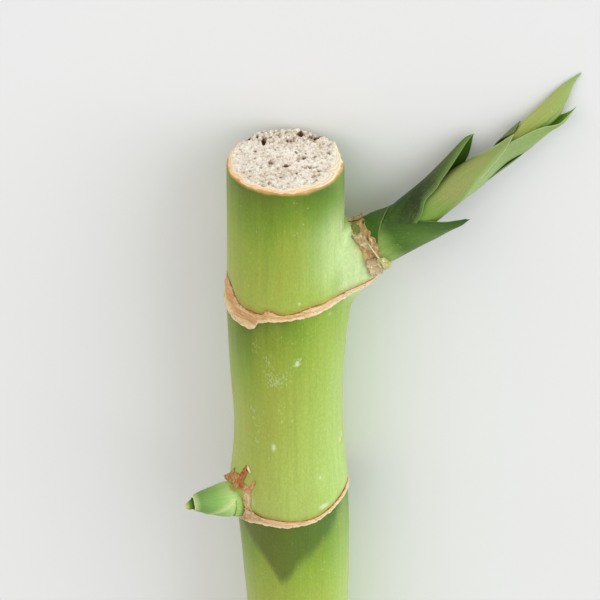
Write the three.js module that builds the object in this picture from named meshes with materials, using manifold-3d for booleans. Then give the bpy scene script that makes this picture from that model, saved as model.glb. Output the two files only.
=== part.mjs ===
// Lucky bamboo, a cut cane of Dracaena sanderiana with one side shoot and one bud, lying on a table.
// Millimetres, +Z up. The cane lies along X with its top cut at +X, the shoot leans down to -Y,
// and the bud points up to +Y.

import * as THREE from "three";
import { mergeVertices } from "three/addons/utils/BufferGeometryUtils.js";
import Module from "manifold-3d";

const wasm = await Module();
wasm.setup();

// Driving dimensions. A cane angle is 0 on the side away from the table and 90 on the shoot's side.

const CANE_LENGTH = 150;
const TOP_CUT_SLANT = 0.077;
const RIND_THICKNESS = 0.7;
const PITH_DOME = 0.35;
const PITH_GRAIN = 0.16;
const SCAR_GROOVE = 0.4;
const SCAR_PROUD = 0.5;
const SCAR_THICKNESS = 0.6;
const SCAR_INSET = 0.12;
const GROOVE_EDGE = 0.25;
const GAP = 0.3;
const LEAF_THICKNESS = 0.6;
const SHOOT_TWIST = 25.8;
const BUD_STATION = 80.1;
const BUD_ANGLE = -68;
const BUD_LEAN = 6;
const BUD_SWELLING = { station: 83, length: 5, spread: 26, height: 0.95 };

// How the piece lies: rolled until the shoot's tip meets the table, then moved over the frame's origin.
const LYING_ROLL = 12.75;
const AXIS_HEIGHT = 11.06;
const ORIGIN_STATION = 83.14;
const ORIGIN_SIDE = 15.76;

const CANE_SIDES = 60;
const ROUND_SIDES = 20;
const LEAF_FACET = 20;
const SEED = 11;

// Radius and sideways drift of the cane, by station up from the bottom cut.
const GIRTH = [
  [0, 9.7], [14, 9.75], [25, 10.0], [32, 10.2], [39, 9.95], [47, 9.75], [54, 9.8], [60, 10.05],
  [66, 10.2], [72, 10.4], [79, 10.6], [83, 10.65], [87, 10.45], [91, 10.22], [97, 10.0], [104, 10.15],
  [111, 10.4], [118, 10.62], [124.5, 10.6], [130, 10.35], [138, 10.2], [150, 10.08],
];
const DRIFT = [
  [0, 2.3], [20, 2.3], [45, 2.1], [54, 1.94], [60, 1.78], [66, 1.56], [72, 1.29], [80, 0.85],
  [88, 0.5], [97, 0.28], [105, 0.12], [125, 0.0], [150, -0.05],
];

// The swelling under the shoot: how far it reaches at 90 degrees, and half its breadth at the cane.
const BRANCH_FOOT = 108;
const BRANCH_LIP = 128.6;
const BRANCH_TOP = 137.2;
const BRANCH_REACH = [
  [108, 9.0], [114, 10.0], [119.1, 10.9], [121, 11.35], [122.6, 12.0], [124.4, 13.2],
  [126.05, 14.6], [127.6, 16.1], [128.6, 16.8],
];
const BRANCH_BREADTH = [[108, 8.5], [120, 7.6], [126, 7.0], [129, 6.3], [133, 5.9], [137.2, 4.7]];
const BRANCH_FACE_SLOPE = 0.577;
const BRANCH_ROUNDNESS = 2.4;
const BRANCH_BLEND = 1.6;

// Each scar: its upper and lower edge, by cane angle.
const SCARS = [
  {
    name: "leaf_scar_bottom",
    upper: [[-150, 32.9], [-90, 32.4], [-30, 32.6], [30, 33.2], [90, 33.5], [150, 33.2]],
    lower: [[-150, 31.6], [-90, 30.7], [-30, 31.3], [30, 32.1], [90, 32.3], [150, 32.1]],
  },
  {
    name: "leaf_scar_middle",
    upper: [
      [-165, 79.2], [-130, 78.2], [-95, 76.9], [-68, 76.8], [-50, 78.6], [-20, 79.4], [10, 79.5],
      [27, 80.2], [45, 81.2], [75, 81.3], [120, 80.8], [160, 79.8],
    ],
    lower: [
      [-165, 78.1], [-130, 76.9], [-95, 75.2], [-68, 75.0], [-50, 76.7], [-20, 78.1], [10, 78.5],
      [27, 79.3], [45, 80.1], [75, 79.9], [120, 79.6], [160, 78.8],
    ],
  },
  {
    name: "leaf_scar_top",
    upper: [
      [-165, 126.0], [-130, 126.6], [-100, 127.4], [-78, 127.2], [-62, 125.6], [-45, 124.6], [-20, 124.6],
      [10, 125.2], [30, 126.1], [50, 126.8], [68, 127.8], [90, 128.2], [110, 127.5], [140, 126.1],
    ],
    lower: [
      [-165, 124.8], [-130, 124.0], [-100, 121.8], [-78, 120.5], [-55, 120.5], [-40, 120.9], [-26, 122.4],
      [-8, 123.6], [15, 124.1], [50, 124.5], [68, 126.2], [90, 127.0], [110, 126.0], [140, 124.7],
    ],
  },
];

// The shoot's middle line: run along it, station up the cane, and reach out from the cane's middle.
const SHOOT_LINE = [
  [0, 132.9, 13.9], [2.4, 134.1, 16.0], [8, 137.3, 20.6], [19.6, 145.0, 29.4], [29.4, 151.5, 36.7],
  [38.5, 158.0, 43.1], [44.4, 162.7, 46.6], [49.3, 166.7, 49.4],
];
const SHOOT_STEM = { foot: -4, end: 6.8, radius: 2.75, taper: 0.17 };
const SHOOT_BRACT = { from: 0.75, to: 2.25, inner: 3.1, outer: 5.0, ragged: 0.22 };

// Each leaf: where it starts and ends along the shoot, the radius of its outside, how far it stands off
// the middle line to the shoot's lower side, and the angles of its two edges round the shoot.
const LEAVES = [
  {
    name: "shoot_sheath",
    colour: 0x2f5a1e,
    reach: [[2.6, 4.68], [5.6, 4.62]],
    shift: [[0, 0]],
    left: [[2.6, -196], [4.2, -186], [5.6, -150]],
    right: [[2.6, 14], [3.6, 2], [4.6, -30], [5.6, -92]],
  },
  {
    name: "shoot_leaf_low",
    colour: 0x4c8a2c,
    reach: [[2.6, 4.64], [6, 4.64], [9, 4.55], [11.5, 3.4], [14, 2.2], [16.2, 1.3], [17.6, 0.85]],
    shift: [[2.6, 0], [6, 0.3], [9, 0.9], [11.5, 2.2], [14, 3.9], [16.2, 5.0], [17.6, 5.5]],
    left: [[2.6, 24], [3.6, 12], [4.9, -20], [6.6, -26], [8.4, -3], [10.5, 9], [13.2, 12], [15.5, 30], [17.6, 82]],
    right: [[2.6, 154], [5, 150], [8, 146], [11, 140], [14, 134], [16.4, 118], [17.6, 94]],
  },
  {
    name: "shoot_leaf_back",
    colour: 0x37601f,
    reach: [
      [2.6, 3.88], [5, 3.84], [8, 3.78], [13.4, 3.84], [16.5, 3.5], [20, 2.9], [24, 2.1], [26, 1.5], [27.6, 0.9],
    ],
    shift: [[2.6, 0], [13.4, 0], [16.5, -0.6], [20, -1.6], [24, -2.95], [26, -3.8], [27.6, -4.6]],
    left: [[2.6, -168], [13, -172], [18, -176], [22, -178], [25, -160], [27.6, -104]],
    right: [[2.6, 130], [6, 60], [9, 24], [11.4, 2], [13.4, -12], [16, -27], [20, -30], [23, -58], [27.6, -92]],
  },
  {
    name: "shoot_leaf_front",
    colour: 0x7fa14f,
    reach: [[4.2, 3.04], [8, 2.98], [13.4, 3.0], [19.6, 2.74], [25, 2.3], [29.4, 1.97], [33, 1.86]],
    shift: [[0, 0]],
    left: [[4.2, -160], [19, -150], [23, -126], [25.5, -110], [29.4, -100], [31.5, -78], [33, -40]],
    right: [[4.2, 150], [9, 110], [12, 91], [13.6, 85], [19.6, 61], [23.7, 42], [25.7, 32], [29.4, 10], [31.3, -9], [33, -32]],
  },
  {
    name: "shoot_leaf_side",
    colour: 0x86b25c,
    reach: [
      [7.2, 2.3], [13.4, 2.28], [15.2, 2.15], [19.6, 2.02], [23, 2.05], [25, 1.95], [29.4, 1.8], [33.8, 1.8], [37.2, 1.6],
      [40.4, 1.3], [42.6, 0.95], [44.4, 0.5],
    ],
    shift: [
      [7.2, 0], [13.4, 0], [15.2, 0.15], [17, 0.5], [19.6, 0.75], [23, 0.75], [25, 0.45], [29.4, 0.32], [33.8, 0.72],
      [37.2, 1.15], [40.4, 1.9], [42.6, 2.4], [44.4, 2.85],
    ],
    left: [
      [7.2, -30], [13.4, -10], [15.2, 62], [16.6, 86], [19.6, 67], [23, 57], [26, 38], [29.4, 20], [31.8, 2], [35, -4],
      [37.2, 8], [39.3, 30], [41, 52], [44.4, 84],
    ],
    right: [[7.2, 92], [22, 92], [28, 96], [34, 106], [38, 122], [41, 150], [42.6, 150], [44.4, 100]],
  },
  {
    name: "shoot_leaf_under",
    colour: 0x3f6b2a,
    reach: [[7.2, 2.3], [13.4, 2.3], [19.6, 2.05], [23, 2.1], [25, 2.0], [29.4, 1.88], [34.6, 1.9]],
    shift: [[7.2, 0], [12, 0.05], [14, 0.3], [17, 0.75], [20, 0.9], [23, 0.8], [25, 0.48], [29.4, 0.36], [34.6, 0.9]],
    left: [[7.2, 104], [22, 104], [28, 108], [32, 120], [34.6, 128]],
    right: [[7.2, 206], [20, 190], [28, 172], [32, 156], [34.6, 136]],
  },
  {
    name: "shoot_leaf_hidden",
    colour: 0x4a6638,
    reach: [[7.2, 2.3], [13.4, 2.3], [19.6, 2.0], [25, 1.58], [29.4, 1.9], [33, 2.1], [36.2, 2.2]],
    shift: [[7.2, 0], [25, 0], [29.4, -0.1], [36.2, -0.35]],
    left: [[7.2, -142], [20, -146], [26, -172], [31, -166], [34, -140], [36.2, -112]],
    right: [[7.2, -42], [19, -46], [23, -90], [25.5, -124], [29, -122], [31, -106], [34, -98], [36.2, -96]],
  },
];
const SPEAR = {
  name: "shoot_spear",
  colour: 0x9dbb62,
  from: 7.2,
  to: 49.3,
  breadth: [
    [7.2, 1.4], [13.4, 1.48], [19.6, 1.15], [25, 0.78], [29.4, 1.0], [33.8, 1.3], [38.5, 1.6], [42, 1.7],
    [44.4, 1.16], [46.8, 0.6], [49.3, 0.14],
  ],
  depth: [[7.2, 1.4], [13.4, 1.48], [19.6, 1.15], [25, 0.78], [33.8, 0.85], [42, 0.62], [49.3, 0.14]],
};

const BUD_BOSS = { foot: 8, end: 13.6, radius: 2.1 };
const BUD_BASE_SCALE = [[12.1, 2.45], [12.1, 3.2], [12.7, 3.22], [13.35, 3.0], [13.35, 2.45]];
const BUD_MAIN_SCALE = [
  [13.65, 0], [13.65, 2.95], [14.6, 2.85], [16.6, 2.25], [18.4, 1.75], [19.8, 1.35], [20.0, 1.1],
  [18.4, 0.9], [18.0, 0],
];
const BUD_TIP = [[18.35, 0], [18.35, 0.55], [19.6, 0.78], [20.5, 0.72], [21.2, 0.45], [21.6, 0]];
const BUD_BRACT = { from: -82, to: 78, inner: 3.55, outer: 4.9, lobe: 0.55, thickness: 0.62 };

const LEAF_ROUGHNESS = 0.45;
const material = (colour, roughness) =>
  new THREE.MeshStandardMaterial({ color: colour, roughness, metalness: 0 });
const SCAR_MATERIAL = material(0xd9b588, 0.85);
const BRACT_MATERIAL = material(0xc2a878, 0.9);
const BUD_MATERIAL = material(0x8bbc6c, 0.5);

// Small maths

const radians = THREE.MathUtils.degToRad;

// A smooth curve through [position, value] pairs; column picks the value.
function along(keys, position, column = 1) {
  const last = keys.length - 1;
  if (position <= keys[0][0]) return keys[0][column];
  if (position >= keys[last][0]) return keys[last][column];
  let i = 0;
  while (position > keys[i + 1][0]) i += 1;
  const slope = (j) => {
    const before = keys[Math.max(j - 1, 0)];
    const after = keys[Math.min(j + 1, last)];
    return (after[column] - before[column]) / (after[0] - before[0]);
  };
  const span = keys[i + 1][0] - keys[i][0];
  const k = (position - keys[i][0]) / span;
  const rise = k * k * (3 - 2 * k);
  return (
    keys[i][column] * (1 - rise) +
    keys[i + 1][column] * rise +
    span * k * (1 - k) * ((1 - k) * slope(i) - k * slope(i + 1))
  );
}

// The same curve closed round the cane, for keys by angle.
function around(keys, angle) {
  const turned = (turn) => keys.map(([a, value]) => [a + turn, value]);
  const closed = [...turned(-360), ...keys, ...turned(360)];
  return along(closed, THREE.MathUtils.euclideanModulo(angle + 180, 360) - 180);
}

function smoothMax(a, b, blend) {
  const mix = THREE.MathUtils.clamp(0.5 + (0.5 * (a - b)) / blend, 0, 1);
  return b + (a - b) * mix + blend * mix * (1 - mix);
}

// Points and triangles to a closed geometry: equal points are shared and collapsed triangles dropped.
function closedGeometry(points, triangles) {
  const positions = [];
  for (const triangle of triangles) {
    for (const corner of triangle) positions.push(...points[corner].toArray());
  }
  const loose = new THREE.BufferGeometry();
  loose.setAttribute("position", new THREE.Float32BufferAttribute(positions, 3));
  const merged = mergeVertices(loose, 1e-3);
  const kept = [];
  const corners = merged.index.array;
  for (let i = 0; i < corners.length; i += 3) {
    const [a, b, c] = [corners[i], corners[i + 1], corners[i + 2]];
    if (a !== b && b !== c && c !== a) kept.push(a, b, c);
  }
  merged.setIndex(kept);
  return merged;
}

function toSolid(geometry) {
  return new wasm.Manifold(
    new wasm.Mesh({
      numProp: 3,
      vertProperties: geometry.attributes.position.array,
      triVerts: new Uint32Array(geometry.index.array),
    }),
  );
}

function toGeometry(solid) {
  const mesh = solid.getMesh();
  const geometry = new THREE.BufferGeometry();
  geometry.setAttribute("position", new THREE.BufferAttribute(mesh.vertProperties, 3));
  geometry.setIndex(new THREE.BufferAttribute(mesh.triVerts, 1));
  geometry.computeVertexNormals();
  return geometry;
}

// A skin of quads between rows of points; closed joins the last column to the first.
function skin(rows, triangles, offset, closed, flip = false) {
  const width = rows[0].length;
  const columns = closed ? width : width - 1;
  for (let i = 0; i + 1 < rows.length; i += 1) {
    for (let j = 0; j < columns; j += 1) {
      const a = offset + i * width + j;
      const b = offset + i * width + ((j + 1) % width);
      const [c, d] = [a + width, b + width];
      triangles.push(flip ? [a, c, b] : [a, b, c], flip ? [b, c, d] : [b, d, c]);
    }
  }
}

// Cane

// Point at a station up the cane, an angle round it and a distance from its middle line.
function canePoint(station, angle, distance) {
  const a = radians(angle);
  const side = along(DRIFT, station) + distance * Math.sin(a);
  return new THREE.Vector3(station, -side, distance * Math.cos(a));
}

function branchRadius(station, angle) {
  const a = radians(angle);
  if (station < BRANCH_FOOT || station > BRANCH_TOP || Math.sin(a) <= 0) return 0;
  const reach =
    station < BRANCH_LIP
      ? along(BRANCH_REACH, station)
      : along(BRANCH_REACH, BRANCH_LIP) - BRANCH_FACE_SLOPE * (station - BRANCH_LIP);
  const breadth = along(BRANCH_BREADTH, station);
  const n = BRANCH_ROUNDNESS;
  return (Math.abs(Math.cos(a) / breadth) ** n + (Math.sin(a) / reach) ** n) ** (-1 / n);
}

function caneRadius(station, angle) {
  const { station: middle, length, spread, height } = BUD_SWELLING;
  const swelling = Math.exp(
    -(((station - middle) / length) ** 2) - ((angle - BUD_ANGLE) / spread) ** 2,
  );
  const plain = along(GIRTH, station) + height * swelling;
  return smoothMax(branchRadius(station, angle), plain, BRANCH_BLEND);
}

// The rows that the cane's skin is laid on, from the bottom cut to the top cut. Each anchor is a line
// round the cane, and the rows between two anchors share the space evenly.
function caneAnchors() {
  const anchors = [{ rows: 0, at: () => 0 }];
  const counts = [6, 8, 8];
  SCARS.forEach((scar, i) => {
    const low = (angle) => around(scar.lower, angle);
    const high = (angle) => around(scar.upper, angle);
    anchors.push({ rows: counts[i], at: (angle) => low(angle) - GROOVE_EDGE });
    anchors.push({ rows: 1, at: low, groove: true });
    anchors.push({ rows: 1, at: high, groove: true });
    anchors.push({ rows: 1, at: (angle) => high(angle) + GROOVE_EDGE });
  });
  const back = (angle) => 1 - Math.sin(radians(angle));
  anchors.push({ rows: 1, at: (angle) => BRANCH_LIP + back(angle) });
  anchors.push({ rows: 5, at: () => BRANCH_TOP });
  anchors.push({ rows: 1, at: () => BRANCH_TOP + 0.35 });
  anchors.push({ rows: 3, at: null });
  return anchors;
}

function caneRows() {
  const angles = [];
  for (let j = 0; j < CANE_SIDES; j += 1) angles.push((360 * j) / CANE_SIDES - 180);
  const topAt = (angle) =>
    CANE_LENGTH - TOP_CUT_SLANT * along(GIRTH, CANE_LENGTH) * Math.cos(radians(angle));
  const rows = [];
  let before = null;
  for (const anchor of caneAnchors()) {
    const at = anchor.at ?? topAt;
    const steps = Math.max(anchor.rows, 1);
    for (let k = anchor.rows ? 1 : steps; k <= steps; k += 1) {
      rows.push(
        angles.map((angle) => {
          const low = before ? before(angle) : at(angle);
          const station = low + (at(angle) - low) * (k / steps);
          const dip = anchor.groove ? SCAR_GROOVE : 0;
          return canePoint(station, angle, caneRadius(station, angle) - dip);
        }),
      );
    }
    before = at;
  }
  return rows;
}

// A cut end: rings from the rind in to the middle of the pith, which stands up a little in grains.
function cutRings(rim, outward) {
  const centre = new THREE.Vector3();
  for (const point of rim) centre.addScaledVector(point, 1 / rim.length);
  const rings = [];
  let state = SEED;
  const grain = () => {
    state = (state * 16807) % 2147483647;
    return (state / 2147483647 - 0.5) * 2 * PITH_GRAIN;
  };
  const radius = rim[0].distanceTo(centre);
  for (const share of [1 - RIND_THICKNESS / radius, 0.72, 0.46, 0.2]) {
    rings.push(
      rim.map((point) => {
        const inner = new THREE.Vector3().lerpVectors(centre, point, share);
        inner.x += outward * (PITH_DOME * (1 - share * share) + grain());
        return inner;
      }),
    );
  }
  centre.x += outward * PITH_DOME;
  return { rings, centre };
}

// A round solid: pairs of distance along a line and radius, turned round that line.
function turnedSolid(profile, origin, direction, sides) {
  const lathe = new THREE.LatheGeometry(
    profile.map(([distance, radius]) => new THREE.Vector2(radius, distance)),
    sides,
  );
  const turn = new THREE.Quaternion().setFromUnitVectors(new THREE.Vector3(0, 1, 0), direction);
  lathe.applyQuaternion(turn);
  lathe.translate(origin.x, origin.y, origin.z);
  const position = lathe.attributes.position;
  const points = [];
  for (let i = 0; i < position.count; i += 1) {
    points.push(new THREE.Vector3().fromBufferAttribute(position, i));
  }
  const corners = lathe.index.array;
  const triangles = [];
  for (let i = 0; i < corners.length; i += 3) {
    triangles.push([corners[i], corners[i + 1], corners[i + 2]]);
  }
  return toSolid(closedGeometry(points, triangles));
}

// The bud's line starts on the cane's middle line and leaves the cane's skin at the bud's station.
function budFrame() {
  const angle = radians(BUD_ANGLE);
  const lean = radians(BUD_LEAN);
  const direction = new THREE.Vector3(0, -Math.sin(angle), Math.cos(angle));
  direction.multiplyScalar(Math.cos(lean));
  direction.x = Math.sin(lean);
  const start = BUD_STATION - along(GIRTH, BUD_STATION) * Math.tan(lean);
  return { origin: canePoint(start, 0, 0), direction };
}

function caneSolid() {
  const rows = caneRows();
  const bottom = cutRings(rows[0], -1);
  const top = cutRings(rows[rows.length - 1], 1);
  const all = [...bottom.rings].reverse().concat(rows, top.rings);
  const points = all.flat();
  const triangles = [];
  skin(all, triangles, 0, true);
  const width = CANE_SIDES;
  points.push(bottom.centre, top.centre);
  const lastRow = (all.length - 1) * width;
  for (let j = 0; j < width; j += 1) {
    const next = (j + 1) % width;
    triangles.push([points.length - 2, next, j]);
    triangles.push([points.length - 1, lastRow + j, lastRow + next]);
  }
  return toSolid(closedGeometry(points, triangles)).add(shootStem()).add(budBoss());
}

// The short stem inside the shoot's leaves, rooted in the swelling.
function shootStem() {
  const { foot, end, radius, taper } = SHOOT_STEM;
  const start = shootFrame(0).centre;
  const direction = shootFrame(4).centre.sub(start).normalize();
  const profile = [[foot, 0], [foot, radius], [0, radius], [end, radius - taper * end], [end, 0]];
  return turnedSolid(profile, start, direction, ROUND_SIDES);
}

// The boss that the bud's scales sit on.
function budBoss() {
  const { foot, end, radius } = BUD_BOSS;
  return budSolid([[foot, 0], [foot, radius], [end, radius], [end, 0]]);
}

// Leaf scars

function scarSolid(scar) {
  const inner = SCAR_PROUD - SCAR_THICKNESS;
  const columns = [];
  for (let j = 0; j < CANE_SIDES; j += 1) {
    const angle = (360 * j) / CANE_SIDES - 180;
    const low = around(scar.lower, angle) + SCAR_INSET;
    const high = around(scar.upper, angle) - SCAR_INSET;
    const at = (station, lift) => canePoint(station, angle, caneRadius(station, angle) + lift);
    columns.push([at(low, inner), at(low, SCAR_PROUD), at(high, SCAR_PROUD - 0.1), at(high, inner)]);
  }
  columns.push(columns[0]);
  const points = columns.flat();
  const triangles = [];
  skin(columns, triangles, 0, true, true);
  return toSolid(closedGeometry(points, triangles));
}

// Shoot

// The middle of the shoot at a run along it, and the two directions across it: low to the shoot's
// lower side, near to the viewer's side.
function shootFrame(run) {
  const at = (s) => {
    if (s >= SHOOT_LINE[0][0]) return [along(SHOOT_LINE, s, 1), along(SHOOT_LINE, s, 2)];
    const [x, out] = at(0);
    const [x1, out1] = at(1);
    return [x + (x1 - x) * s, out + (out1 - out) * s];
  };
  const [x, out] = at(run);
  const [xa, outa] = at(run + 0.2);
  const [xb, outb] = at(run - 0.2);
  const angle = Math.atan2(xa - xb, outa - outb);
  const lower = new THREE.Vector3(-Math.cos(angle), -Math.sin(angle), 0);
  const up = new THREE.Vector3(0, 0, 1);
  const twist = radians(SHOOT_TWIST);
  return {
    centre: new THREE.Vector3(x, -out, 0),
    low: lower.clone().multiplyScalar(Math.cos(twist)).addScaledVector(up, Math.sin(twist)),
    near: up.clone().multiplyScalar(Math.cos(twist)).addScaledVector(lower, -Math.sin(twist)),
  };
}

function shootPoint(run, angle, breadth, depth, shift) {
  const frame = shootFrame(run);
  const a = radians(angle);
  return frame.centre
    .addScaledVector(frame.low, shift + breadth * Math.sin(a))
    .addScaledVector(frame.near, depth * Math.cos(a));
}

// A rolled leaf: an outer and an inner skin between its two edges, closed at the edges and the foot.
function leafSolid(leaf) {
  const from = leaf.reach[0][0];
  const to = leaf.reach[leaf.reach.length - 1][0];
  const steps = Math.round(6 + (to - from) / 2.6);
  const spread = Math.max(...leaf.left.map(([run]) => along(leaf.right, run) - along(leaf.left, run)));
  const columns = Math.ceil(spread / LEAF_FACET);
  const outer = [];
  const inner = [];
  for (let i = 0; i <= steps; i += 1) {
    const run = from + ((to - from) * i) / steps;
    const reach = along(leaf.reach, run);
    const shift = along(leaf.shift, run);
    const left = along(leaf.left, run);
    const right = Math.max(along(leaf.right, run), left + 1);
    const angleAt = (j) => left + ((right - left) * j) / columns;
    const row = (radius) =>
      Array.from({ length: columns + 1 }, (_, j) => shootPoint(run, angleAt(j), radius, radius, shift));
    outer.push(row(reach));
    inner.push(row(Math.max(reach - LEAF_THICKNESS, 0.08)));
  }
  const points = [...outer.flat(), ...inner.flat()];
  const triangles = [];
  const offset = outer.length * (columns + 1);
  skin(outer, triangles, 0, false);
  skin(inner, triangles, offset, false, true);
  const width = columns + 1;
  for (let i = 0; i < steps; i += 1) {
    const [a, b] = [i * width, (i + 1) * width];
    triangles.push([a, b, offset + a], [offset + a, b, offset + b]);
    const [c, d] = [a + columns, b + columns];
    triangles.push([d, c, offset + c], [offset + d, d, offset + c]);
  }
  for (let j = 0; j < columns; j += 1) {
    triangles.push([j + 1, j, offset + j], [offset + j + 1, j + 1, offset + j]);
    const [a, b] = [steps * width + j, steps * width + j + 1];
    triangles.push([a, b, offset + a], [offset + a, b, offset + b]);
  }
  return toSolid(closedGeometry(points, triangles));
}

function spearSolid() {
  const sides = 12;
  const steps = 22;
  const rows = [];
  for (let i = 0; i <= steps; i += 1) {
    const run = SPEAR.from + ((SPEAR.to - SPEAR.from) * i) / steps;
    const [breadth, depth] = [along(SPEAR.breadth, run), along(SPEAR.depth, run)];
    rows.push(Array.from({ length: sides }, (_, j) => shootPoint(run, (360 * j) / sides, breadth, depth, 0)));
  }
  const points = rows.flat();
  const triangles = [];
  skin(rows, triangles, 0, true);
  points.push(shootFrame(SPEAR.from).centre, shootFrame(SPEAR.to).centre);
  for (let j = 0; j < sides; j += 1) {
    const next = (j + 1) % sides;
    triangles.push([points.length - 2, next, j]);
    triangles.push([points.length - 1, steps * sides + j, steps * sides + next]);
  }
  return toSolid(closedGeometry(points, triangles));
}

// The dry bract closed round the shoot's foot.
function bractSolid() {
  const { from, to, inner, outer, ragged } = SHOOT_BRACT;
  const sides = 30;
  const columns = [];
  for (let j = 0; j < sides; j += 1) {
    const angle = (360 * j) / sides;
    const wave = ragged * Math.sin(radians(angle * 5 + 20)) + 0.5 * ragged * Math.sin(radians(angle * 11));
    const at = (run, radius) => shootPoint(run, angle, radius, radius, 0);
    columns.push([at(from, inner), at(from, outer + wave), at(to + wave * 0.3, outer - 0.12), at(to, inner)]);
  }
  columns.push(columns[0]);
  const points = columns.flat();
  const triangles = [];
  skin(columns, triangles, 0, true, true);
  return toSolid(closedGeometry(points, triangles));
}

// Bud

function budSolid(profile) {
  const { origin, direction } = budFrame();
  return turnedSolid(profile, origin, direction, ROUND_SIDES);
}

// The dry flake that lies on the cane round the bud's upper side.
function budBractSolid() {
  const steps = 14;
  const columns = [];
  for (let j = 0; j <= steps; j += 1) {
    const angle = BUD_BRACT.from + ((BUD_BRACT.to - BUD_BRACT.from) * j) / steps;
    const lobe = BUD_BRACT.lobe * Math.cos(radians(angle * 5)) * Math.cos(radians(angle));
    const at = (radius, lift) => {
      const station = BUD_STATION + radius * Math.cos(radians(angle));
      const across = radius * Math.sin(radians(angle));
      const turn = BUD_ANGLE + THREE.MathUtils.radToDeg(across / along(GIRTH, station));
      return canePoint(station, turn, caneRadius(station, turn) + lift);
    };
    const { inner, outer, thickness } = BUD_BRACT;
    const reach = outer + lobe;
    const top = GAP + thickness;
    columns.push([at(inner, GAP), at(inner, top), at(reach, top), at(reach, GAP)]);
  }
  const points = columns.flat();
  const triangles = [];
  skin(columns, triangles, 0, true, true);
  const last = steps * 4;
  triangles.push([0, 1, 2], [0, 2, 3], [last, last + 2, last + 1], [last, last + 3, last + 2]);
  return toSolid(closedGeometry(points, triangles));
}

// Assembly. What lies lowest is worn flat where it meets the table.

const lying = new THREE.Group();
lying.rotation.x = radians(LYING_ROLL);
lying.position.set(-ORIGIN_STATION, ORIGIN_SIDE, AXIS_HEIGHT);
lying.updateMatrixWorld(true);

function tableBlock() {
  const box = new THREE.BoxGeometry(3 * CANE_LENGTH, 3 * CANE_LENGTH, CANE_LENGTH);
  box.deleteAttribute("normal");
  box.deleteAttribute("uv");
  box.translate(0, 0, -CANE_LENGTH / 2);
  box.applyMatrix4(lying.matrixWorld.clone().invert());
  return toSolid(mergeVertices(box));
}

const table = tableBlock();

function addPiece(name, solid, look) {
  const mesh = new THREE.Mesh(toGeometry(solid.subtract(table)), look);
  mesh.name = name;
  lying.add(mesh);
}

addPiece("cane", caneSolid(), material(0x8fb04e, 0.38));
for (const scar of SCARS) addPiece(scar.name, scarSolid(scar), SCAR_MATERIAL);
addPiece("shoot_bract", bractSolid(), BRACT_MATERIAL);
for (const leaf of LEAVES) addPiece(leaf.name, leafSolid(leaf), material(leaf.colour, LEAF_ROUGHNESS));
addPiece(SPEAR.name, spearSolid(), material(SPEAR.colour, LEAF_ROUGHNESS));
addPiece("bud_base_scale", budSolid(BUD_BASE_SCALE.concat([BUD_BASE_SCALE[0]])), BUD_MATERIAL);
addPiece("bud_main_scale", budSolid(BUD_MAIN_SCALE), BUD_MATERIAL);
addPiece("bud_tip", budSolid(BUD_TIP), material(0xc9cf72, 0.5));
addPiece("bud_bract", budBractSolid(), material(0xa8603a, 0.85));

const part = new THREE.Group();
part.name = "lucky_bamboo";
part.add(lying);

export default part;
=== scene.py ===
"""Lucky bamboo: a cut cane of Dracaena sanderiana with one side shoot and one bud, lying on a pale floor.

Everything is modelled in the cane's own millimetres, station along the cane from its bottom cut, and is
laid down by to_frame(), which also turns millimetres to metres. A cane angle is 0 on the side away from
the floor and 90 on the shoot's side.
"""

import math
from itertools import product

import bpy
import numpy as np
from mathutils import Matrix, Vector


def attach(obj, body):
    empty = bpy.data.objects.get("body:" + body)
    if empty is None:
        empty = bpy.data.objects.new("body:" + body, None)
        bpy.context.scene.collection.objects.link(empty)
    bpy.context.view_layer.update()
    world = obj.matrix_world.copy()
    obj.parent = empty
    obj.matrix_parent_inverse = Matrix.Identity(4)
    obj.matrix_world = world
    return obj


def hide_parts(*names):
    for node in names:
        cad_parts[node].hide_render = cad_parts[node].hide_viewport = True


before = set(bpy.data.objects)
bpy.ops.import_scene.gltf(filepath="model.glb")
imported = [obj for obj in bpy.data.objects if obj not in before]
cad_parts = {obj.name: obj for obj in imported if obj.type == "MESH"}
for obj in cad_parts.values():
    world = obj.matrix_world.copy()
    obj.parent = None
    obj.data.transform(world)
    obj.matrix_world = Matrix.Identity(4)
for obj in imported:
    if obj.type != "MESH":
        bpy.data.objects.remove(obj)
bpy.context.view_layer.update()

MM = 0.001

# How the piece lies.
LYING_ROLL = math.radians(12.75)
LYING_AT = np.array([-83.14, 15.76, 11.06])

# The photograph's view, in the cane's own millimetres.
VIEW_RISE = math.radians(33.0)
VIEW_TARGET = (121.5, -2.45, 0.0)
VIEW_DISTANCE = 400.0
VIEW_LENS = 134.94

# Sizes of the cane. GIRTH is its radius and DRIFT its lean to the shoot's side, by station.
CANE_LENGTH = 150.0
TOP_CUT_SLANT = 0.077
TOP_TILT_FROM = 139.0
SCAR_RADIUS = 10.6
BUD_STATION = 80.1
BUD_ANGLE = -68.0
BUD_LEAN = 6.0
BUD_BOSS_HEIGHT, BUD_BOSS_STATION, BUD_BOSS_LENGTH, BUD_BOSS_BREADTH = 0.95, 83.0, 5.0, 26.0
GIRTH = [
    [0, 9.7], [14, 9.75], [25, 10.0], [32, 10.2], [39, 9.95], [47, 9.75], [54, 9.8], [60, 10.05],
    [66, 10.2], [72, 10.4], [79, 10.6], [83, 10.65], [87, 10.45], [91, 10.22], [97, 10.0], [104, 10.15],
    [111, 10.4], [118, 10.62], [124.5, 10.6], [130, 10.35], [138, 10.2], [150, 10.08],
]
DRIFT = [
    [0, 2.3], [20, 2.3], [45, 2.1], [54, 1.94], [60, 1.78], [66, 1.56], [72, 1.29], [80, 0.85],
    [88, 0.5], [97, 0.28], [105, 0.12], [125, 0.0], [150, -0.05],
]
BRANCH_FOOT, BRANCH_LIP, BRANCH_TOP = 108.0, 128.6, 137.2
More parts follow.
